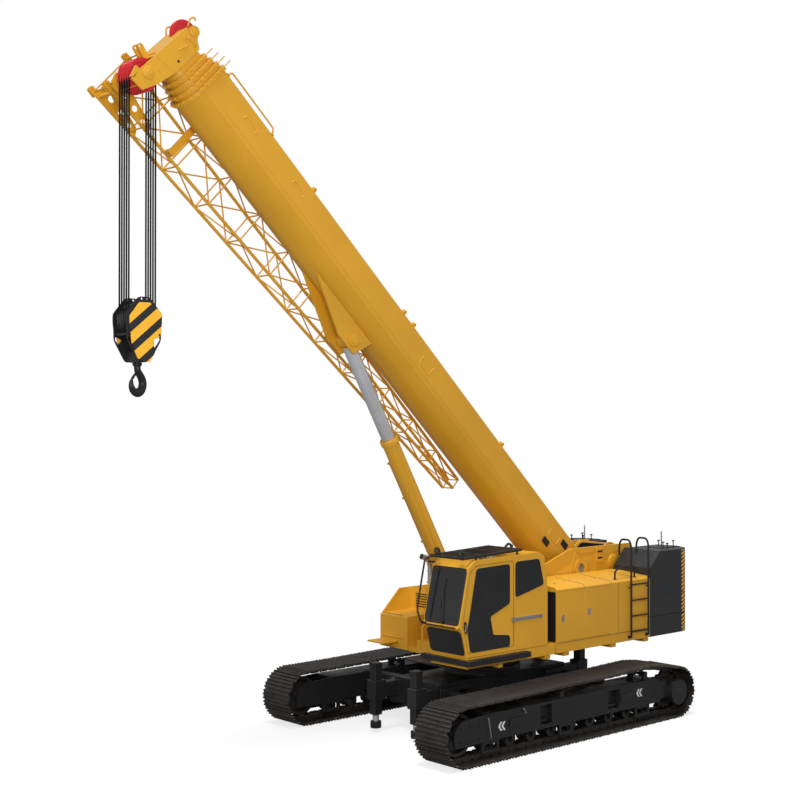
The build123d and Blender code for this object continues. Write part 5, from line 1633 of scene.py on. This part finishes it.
head_set = sheave_set(HEAD_X, HEAD_Z, 5, 0.250, 0.2112, 0.0603)
piece("head_sheave_set", head_set, sheave_red, "head_sheaves", "head_sheaves")
guide_set = sheave_set(GUIDE_X, GUIDE_Z, 1, 0.240, 0.2007, 0.040)
piece("guide_sheave_wheel", guide_set, sheave_red, "guide_sheave", "guide_sheave")
block_set = sheave_set(HEAD_X, BLOCK_Z, 5, 0.250, 0.2112, 0.0503)
piece("block_sheave_set", block_set, black_trim_and_shade, "block_sheaves", "block_sheaves")
print("sheaves", 11)

# %% Head fittings
HEAD_FACE = 0.300  # outer face of a head plate
HEAD_YOKE = [(7.035, 10.80), (7.115, 10.74), (7.245, 10.925), (7.235, 10.965), (7.185, 10.985)]
HEAD_YOKE += [(7.150, 10.965)]
LOW_BRACKET = [(7.425, 10.400), (7.485, 10.399), (7.400, 10.575), (7.340, 10.540)]


def hub_cover(x, z, r, side):
    """Round cover with a step and a ring of screws."""
    steps = [(0.0, 0.034), (r * 0.42, 0.034), (r * 0.5, 0.026), (r * 0.86, 0.022), (r, 0.012)]
    steps += [(r, -0.004), (0.0, -0.004)]
    cover = lathe([(a, side * (HEAD_FACE + b)) for a, b in steps], "Y", (x, 0, z), 40, False)
    t = np.linspace(0, tau, 6, endpoint=False)
    screws = on_circle(x, side * (HEAD_FACE + 0.020), z, 0.7 * r, t)
    return join(cover, hexes(screws, 0.009, side * 0.010, "Y"))


head_bits = []
for side in (1, -1):
    head_bits.append(hub_cover(HEAD_X, HEAD_Z, 0.095, side))
    head_bits.append(hub_cover(GUIDE_X, GUIDE_Z, 0.085, side))
    y, out = side * HEAD_FACE, side * (HEAD_FACE + 0.01)
    head_bits.append(strip([(7.065, y, 10.769), (6.724, y, 10.572)], 0.004, 0.004))
    head_bits.append(strip([(6.689, out, 10.919), (6.503, out, 11.029)], 0.009, 0.009))
    head_bits.append(rod((6.60, y, 10.975), (6.60, y + side * 0.03, 10.975), 0.018, 14))
    head_bits.append(rod((7.012, y, 10.586), (7.012, y + side * 0.012, 10.586), 0.014, 14))
    far = y + side * 0.05
    arm = rounded([(6.545, y, 11.120), (6.545, far, 11.120), (6.405, far, 11.020), (6.405, y, 11.020)], 0.02)
    head_bits.append(tube(arm, 0.010, 8))
    far = y + side * 0.03
    hooked = rounded([(6.52, y, 11.30), (6.50, far, 11.42), (6.43, far, 11.455), (6.40, far, 11.40)], 0.04)
    head_bits.append(tube(hooked, 0.014, 10))
for y0 in (-0.075, 0.045):
    eyelet = [disc(7.195, 10.935, 0.022, 20)]
    head_bits.append(plate(soft_outline(HEAD_YOKE, 0.02), "Y", y0, y0 + 0.03, eyelet))
head_bits.append(rod((7.00, -0.20, 10.845), (7.00, 0.20, 10.845), 0.02, 16))
for side in (1, -1):
    head_bits.append(plate(LOW_BRACKET[::side], "Y", side * 0.252, side * HEAD_FACE))
piece("head_fittings", join(*head_bits), yellow, "boom_head", bevel=0.002, segments=1)
# A thin black disc on each head plate: painted shade of a hole.
holes = [plate(disc(6.680, 10.754, 0.022), "Y", side * 0.299, side * 0.3012) for side in (1, -1)]
piece("head_hole_shade", join(*holes), rubber_and_hole_shade, "boom_head")
print("head fittings", len(head_bits))

# %% [markdown]
# ## Folded jib
# The jib is a square lattice: four long chords, frames at every bay and one diagonal on each side of
# a bay. Every member is a round tube between two points of one table, so the whole lattice is one
# array of end points, and the tubes are copies of a unit cylinder.

# %% Lattice
# along, left at the inner and the outer chords, up at the lower and the upper chords
JIB_ROOT = np.array([12.230, -0.560, -1.000, -0.900, -0.060])
JIB_TIP = np.array([2.700, -0.600, -0.860, -0.440, -0.240])
BAYS = 12
CAP = [(0.0, -0.02), (0.02, -0.02), (0.0275, -0.012), (0.0275, 0.012), (0.0, 0.012)]


def jib_corner(t):
    """Four corners of the lattice at share t of its length."""
    u, yi, yo, w0, w1 = JIB_ROOT + (JIB_TIP - JIB_ROOT) * t
    return np.array([(u, yi, w0), (u, yi, w1), (u, yo, w1), (u, yo, w0)])


def bars(starts, ends, r, sides=10):
    """Unit cylinder stretched onto every pair: point = start + share * (end - start) + r (cos, sin)."""
    starts, ends = np.asarray(starts), np.asarray(ends)
    way = ends - starts
    length = np.linalg.norm(way, axis=1)
    axis = way / length[:, None]
    ref = np.where(np.abs(axis[:, 1:2]) < 0.8, [[0, 1, 0]], [[1, 0, 0]])
    side = np.cross(axis, ref)
    side /= np.linalg.norm(side, axis=1)[:, None]
    up = np.cross(axis, side)
    turn = np.stack([side * r, up * r, way], -1)
    return copies(rod((0, 0, 0), (0, 0, 1), 1.0, sides), starts, turn)


stations = np.array([jib_corner(i / BAYS) for i in range(BAYS + 1)])
ring_a, ring_b = stations.reshape(-1, 3), np.roll(stations, -1, 1).reshape(-1, 3)
first, second = [], []
for i in range(BAYS):
    c, d = stations[i], stations[i + 1]
    first.append(c if i % 2 else np.roll(c, -1, 0))
    second.append(np.roll(d, -1, 0) if i % 2 else d)
chords = bars(stations[0], stations[-1], 0.027, 16)
frames = bars(ring_a, ring_b, 0.0135)
diagonals = bars(np.vstack(first), np.vstack(second), 0.0125)
caps = [lathe(CAP, "X", tuple(p), 16, False) for p in stations[0]]
lattice = join(chords, frames, diagonals, *caps)
piece("jib_lattice", on_boom(lattice), yellow, "boom_base", "stowed_jib")
print("lattice bars", 4 + 4 * (BAYS + 1) + 4 * BAYS)


# %% Jib root plates and yokes
GUSSET_W = -0.875  # height of the lower chords, where the gussets start
GUSSET_HOLES = ((11.50, 0.085, 0.040), (11.72, 0.110, 0.050), (11.97, 0.13, 0.055))


def holed_gusset(v):
    """Root plate beside one lower chord: a long taper with three round holes."""
    u0, u1, w = 12.20, 11.28, GUSSET_W
    edge = [(u0, w), (u1, w), (u1 + 0.10, w + 0.16), (u0, w + 0.30)]
    holes = [disc(u, w + up, r, 20) for u, up, r in GUSSET_HOLES]
    return plate(edge, "Y", v - 0.006, v + 0.006, holes)


root_bits = [holed_gusset(-0.575), holed_gusset(-0.98)]
for v in (-0.56, -1.0):
    for w in (-0.06, -0.90):
        fork = [(12.16, w - 0.055), (12.32, w - 0.045), (12.32, w + 0.045), (12.16, w + 0.055)]
        fork = soft_outline(fork, 0.02)
        for off in (-0.036, 0.020):
            root_bits.append(plate(fork, "Y", v + off, v + off + 0.016, [disc(12.275, w, 0.018, 16)]))
root_bits.append(block(12.10, 12.13, -1.0, -0.56, -0.90, -0.80))
piece("jib_root", on_boom(join(*root_bits)), yellow, "boom_base", bevel=0.002, segments=1)
print("jib root", len(root_bits))

# %% [markdown]
# ## Lift cylinder
# The cylinder is turned steel: a painted barrel with a bolted gland, a ground and chromed rod, an eye
# at each end, and two oil pipes that run up the barrel. Chrome is brighter and less rough than
# anything else on the machine.

# %% Cylinder
FOOT = np.array([0.370, 0.0, 1.750])
EYE = PIVOT + 6.700 * U - 0.665 * W
LIFT_LEN = np.linalg.norm(EYE - FOOT)
LIFT = (EYE - FOOT) / LIFT_LEN
ACROSS = np.array([-LIFT[2], 0.0, LIFT[0]])


def on_lift(solid):
    """Cylinder frame: x forward and down across it, y to the left, z along it from foot to eye."""
    return moved(solid, (-ACROSS, V, LIFT), FOOT)


print("cylinder", round(LIFT_LEN, 3), "m from pin to pin")

# %% Barrel
GLAND = [(0.119, 3.76), (0.150, 3.76), (0.163, 3.772), (0.163, 3.845), (0.150, 3.869), (0.119, 3.869)]
CLAMP_BAND = [(0.144, 1.30), (0.152, 1.302), (0.152, 1.348), (0.144, 1.35)]
softened("lift_tube", yellow, 0.005)
t = np.linspace(0, tau, 12, endpoint=False)
gland_bolts = np.stack([0.141 * np.cos(t), 0.141 * np.sin(t), 0 * t + 3.866], 1)
gland = [lathe(GLAND, "Z", (0, 0, 0), 48), hexes(gland_bolts, 0.012, 0.014, "Z")]
gland.append(lathe(CLAMP_BAND, "Z", (0, 0, 0), 48))
piece("lift_gland", on_lift(join(*gland)), yellow, "lift_tube", bevel=0.0015, segments=1)
oil = [(0.0, -0.143, 0.42), (0.0, -0.185, 0.46), (0.0, -0.185, 3.60), (0.0, -0.143, 3.66)]
oil_two = [(0.055, -0.130, 0.42), (0.06, -0.172, 0.46), (0.06, -0.172, 3.40), (0.055, -0.130, 3.44)]
pipes = [tube(rounded(oil, 0.04), 0.013, 12), tube(rounded(oil_two, 0.04), 0.011, 12)]
pipes += [block(-0.022, 0.085, -0.200, -0.128, z - 0.02, z + 0.02) for z in (0.9, 1.8, 2.7, 3.4)]
piece("lift_pipes", on_lift(join(*pipes)), yellow, "lift_tube", bevel=0.002, segments=1)
print("gland bolts", len(t))

# %% Rod and eye
ROD_START, ROD_END = LIFT_LEN - 3.811 + 0.130, LIFT_LEN - 0.112
SHAFT = [(0.0, ROD_START), (0.115, ROD_START), (0.117, ROD_START + 0.004), (0.117, ROD_END)]
SHAFT += [(0.0, ROD_END)]
EYE_RING = [(0.062, -0.110), (0.120, -0.110), (0.125, -0.104), (0.125, 0.104), (0.120, 0.110)]
EYE_RING += [(0.062, 0.110)]
NECK = [(0.03, LIFT_LEN - 0.20), (0.100, LIFT_LEN - 0.20), (0.112, LIFT_LEN - 0.16)]
NECK += [(0.118, LIFT_LEN - 0.10), (0.03, LIFT_LEN - 0.10)]
shaft = lathe(SHAFT, "Z", (0, 0, 0), 56, False)
piece("lift_shaft", on_lift(shaft), rod_chrome, "lift_rod", "lift_rod")
eye_ring = lathe(EYE_RING, "Y", tuple(EYE), 48)
neck = lathe(NECK, "Z", (0, 0, 0), 40)
tail = cylinder(0, 0, ROD_START - 0.133, 0.040, 0.138, 32)
piece("lift_eye", join(eye_ring, on_lift(join(neck, tail))), yellow, "lift_rod", bevel=0.002)
repaint(bare_steel, "lift_piston")
print("rod", round(ROD_END - ROD_START, 3), "m")

# %% [markdown]
# ## Ropes, hook block and hook
# Ten falls of wire rope run straight between the head and the block. Each rope's UV map runs along
# it in metres, so the strands keep their pitch.


# %% Falls
FALL_R, FALL_RINGS, FALL_SIDES, PITCH_R = 0.013, 40, 10, 0.2225


def fall(x, y, z0, z1):
    """Point = (x + r cos t, y + r sin t, z) on rings from z0 to z1; UV = (share of turn, z)."""
    z = np.linspace(z0, z1, FALL_RINGS)
    t = np.linspace(0, tau, FALL_SIDES, endpoint=False)
    zz, tt = np.meshgrid(z, t, indexing="ij")
    pts, faces = grid(np.stack([x + FALL_R * np.cos(tt), y + FALL_R * np.sin(tt), zz], -1), False, True)
    k = np.arange(FALL_SIDES)[None]
    ends = [k[:, ::-1], k + (FALL_RINGS - 1) * FALL_SIDES]
    return (pts, [*faces, *ends]), np.stack([tt / tau, zz], -1).reshape(-1, 2)


spots = [(HEAD_X + side * PITCH_R, (i - 2) * ROPE_STEP) for side in (1, -1) for i in range(5)]
falls = [fall(x, y, BLOCK_Z + 0.002, HEAD_Z - 0.002) for x, y in spots]
fall_uv = np.vstack([uv for solid, uv in falls])
ropes = piece("rope_falls", join(*[solid for solid, uv in falls]), rope, None, uv=fall_uv, smooth=60)
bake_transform(ropes)
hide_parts("hoist_falls")
print("falls", len(falls))

# %% Hook block
# All outlines are drawn about the axle of the block's sheaves.
CHEEK = [(-0.092, 0.330), (0.092, 0.330), (0.300, 0.085), (0.300, -0.045), (0.285, -0.160)]
CHEEK += [(0.285, -0.300), (0.095, -0.622)]
CHEEK += [(-0.095, -0.622), (-0.285, -0.300), (-0.285, -0.160), (-0.300, -0.045), (-0.300, 0.085)]
COVER = [(-0.088, 0.248), (0.088, 0.245), (0.250, 0.040), (0.250, -0.095), (0.215, -0.360)]
COVER += [(0.118, -0.573), (0.0, -0.625), (-0.090, -0.622), (-0.182, -0.467), (-0.146, -0.358)]
COVER += [(-0.146, -0.297), (-0.280, -0.231), (-0.284, 0.052), (-0.294, 0.101)]
BLOCK_AT = (HEAD_X, BLOCK_Z)
SLOT = [(0.163, -0.290), (0.262, -0.252), (0.266, -0.300), (0.163, -0.440)]
BOLT_X, BOLT_Z, BLOCK_LOW = 0.25, BLOCK_Z - 0.222, BLOCK_Z - 0.622

openings = [soft_outline([(s * x, z) for x, z in SLOT], 0.01) + BLOCK_AT for s in (1, -1)]
openings += [disc(HEAD_X + s * 0.040, BLOCK_Z + 0.300, 0.018, 16) for s in (1, -1)]
cheeks, covers, block_bits = [], [], []
for side in (1, -1):
    outline = soft_outline(CHEEK, 0.05) + BLOCK_AT
    cheeks.append(plate(outline, "Y", side * 0.176, side * 0.196, openings))
    outline = soft_outline(COVER, 0.02) + BLOCK_AT
    covers.append(plate(outline, "Y", side * 0.1955, side * 0.212))
    spots = [(HEAD_X + u, side * 0.196, BOLT_Z) for u in (-BOLT_X, BOLT_X)]
    block_bits.append(hexes(spots, 0.020, side * 0.016, "Y"))
for x in (HEAD_X - BOLT_X, HEAD_X + BOLT_X):
    block_bits.append(rod((x, -0.18, BOLT_Z), (x, 0.18, BOLT_Z), 0.018, 16))
block_bits.append(block(HEAD_X - 0.088, HEAD_X + 0.088, -0.178, 0.178, BLOCK_LOW, BLOCK_LOW + 0.15))
block_bits.append(rod((HEAD_X, -0.2, BLOCK_Z), (HEAD_X, 0.2, BLOCK_Z), 0.05, 28))
piece("block_cheeks", join(*cheeks, *block_bits), black_trim_and_shade, "hook_block", "hook_block", bevel=0.003)
piece("block_covers", join(*covers), block_stripes, "hook_block", bevel=0.002)
print("cheeks", len(cheeks), "openings", len(openings))


# %% Line and thickness of the hook
BOWL_Z = BLOCK_LOW - 0.325
HOOK_TURN = radians(22.0)
SHARES = [0, 0.16, 0.35, 0.62, 0.85, 0.97, 1.0]  # shares of the hook's length, from stem to tip
DEEP = [0.046, 0.050, 0.062, 0.070, 0.046, 0.026, 0.006]
WIDE = [0.046, 0.050, 0.055, 0.060, 0.045, 0.026, 0.006]


def hook_line(count):
    """Stem, bend and the arc of the bowl, at equal steps and smoothed six times by (1, 2, 1) / 4."""
    low = BLOCK_LOW
    neck = np.array([(0.0, low + 0.02), (0.0, low - 0.05), (-0.005, low - 0.12)])
    bend = np.array([(-0.045, low - 0.165), (-0.092, low - 0.215)])
    ang = np.radians(np.linspace(58, -212, 40))
    ang = ang[ang < radians(50)]
    arc = np.stack([0.005 - 0.138 * np.cos(ang), BOWL_Z + 0.010 + 0.134 * np.sin(ang)], 1)
    path = np.vstack([neck, bend, arc])
    run = np.concatenate([[0], np.cumsum(np.hypot(*np.diff(path, axis=0).T))])
    s = np.linspace(0, run[-1], count)
    line = np.stack([np.interp(s, run, path[:, 0]), np.interp(s, run, path[:, 1])], 1)
    for _ in range(6):
        line[1:-1] = (line[:-2] + 2 * line[1:-1] + line[2:]) / 4
    return line


def hook_body(line, sides):
    """Ellipses carried round the bowl: point = line + deep cos t * normal, across = wide sin t."""
    share = np.linspace(0, 1, len(line))
    deep, wide = np.interp(share, SHARES, DEEP), np.interp(share, SHARES, WIDE)
    tangent = np.gradient(line, axis=0)
    tangent /= np.linalg.norm(tangent, axis=1)[:, None]
    normal = np.stack([-tangent[:, 1], tangent[:, 0]], 1)
    t = np.linspace(0, tau, sides, endpoint=False)
    x = line[:, :1] + deep[:, None] * np.cos(t) * normal[:, :1]
    z = line[:, 1:] + deep[:, None] * np.cos(t) * normal[:, 1:]
    pts, faces = grid(np.stack([x, wide[:, None] * np.sin(t), z], -1), False, True)
    ends = np.arange(sides)[None]
    return pts, [*faces, ends[:, ::-1], ends + (len(line) - 1) * sides]


print("hook bowl", round(BOWL_Z, 3), "m above the ground")


# %% Hook
def forged_hook():
    """Hook, collar, latch, stem and nut about the line x = 0, then turned and moved under the block."""
    low = BLOCK_LOW
    ring = [(0.0, low - 0.004), (0.070, low - 0.006), (0.070, low - 0.040), (0.055, low - 0.060)]
    collar = lathe([*ring, (0.0, low - 0.060)], "Z", (0, 0, 0), 36, False)
    flap = [(0.01, 0.165), (0.04, 0.175), (0.140, 0.085), (0.118, 0.065)]
    latch = plate(soft_outline(flap, 0.01) + (0, BOWL_Z), "Y", -0.012, 0.012)
    stem = rod((0, 0, low - 0.01), (0, 0, low + 0.18), 0.0475, 24)
    nut = rod((0, 0, low + 0.152), (0, 0, low + 0.19), 0.075, 6)
    made = join(hook_body(hook_line(90), 24), collar, latch, stem, nut)
    c, s = cos(HOOK_TURN), sin(HOOK_TURN)
    return moved(made, ((c, s, 0), (-s, c, 0), (0, 0, 1)), (HEAD_X, 0, 0))


piece("forged_hook", forged_hook(), black_trim_and_shade, "hook", "hook", smooth=50)
print("hook")

# %% Sizes
VISUAL_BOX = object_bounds()
for name, corners in (("cad", CAD_BOX), ("visual", VISUAL_BOX)):
    print(name, [[round(v, 4) for v in corner] for corner in corners])
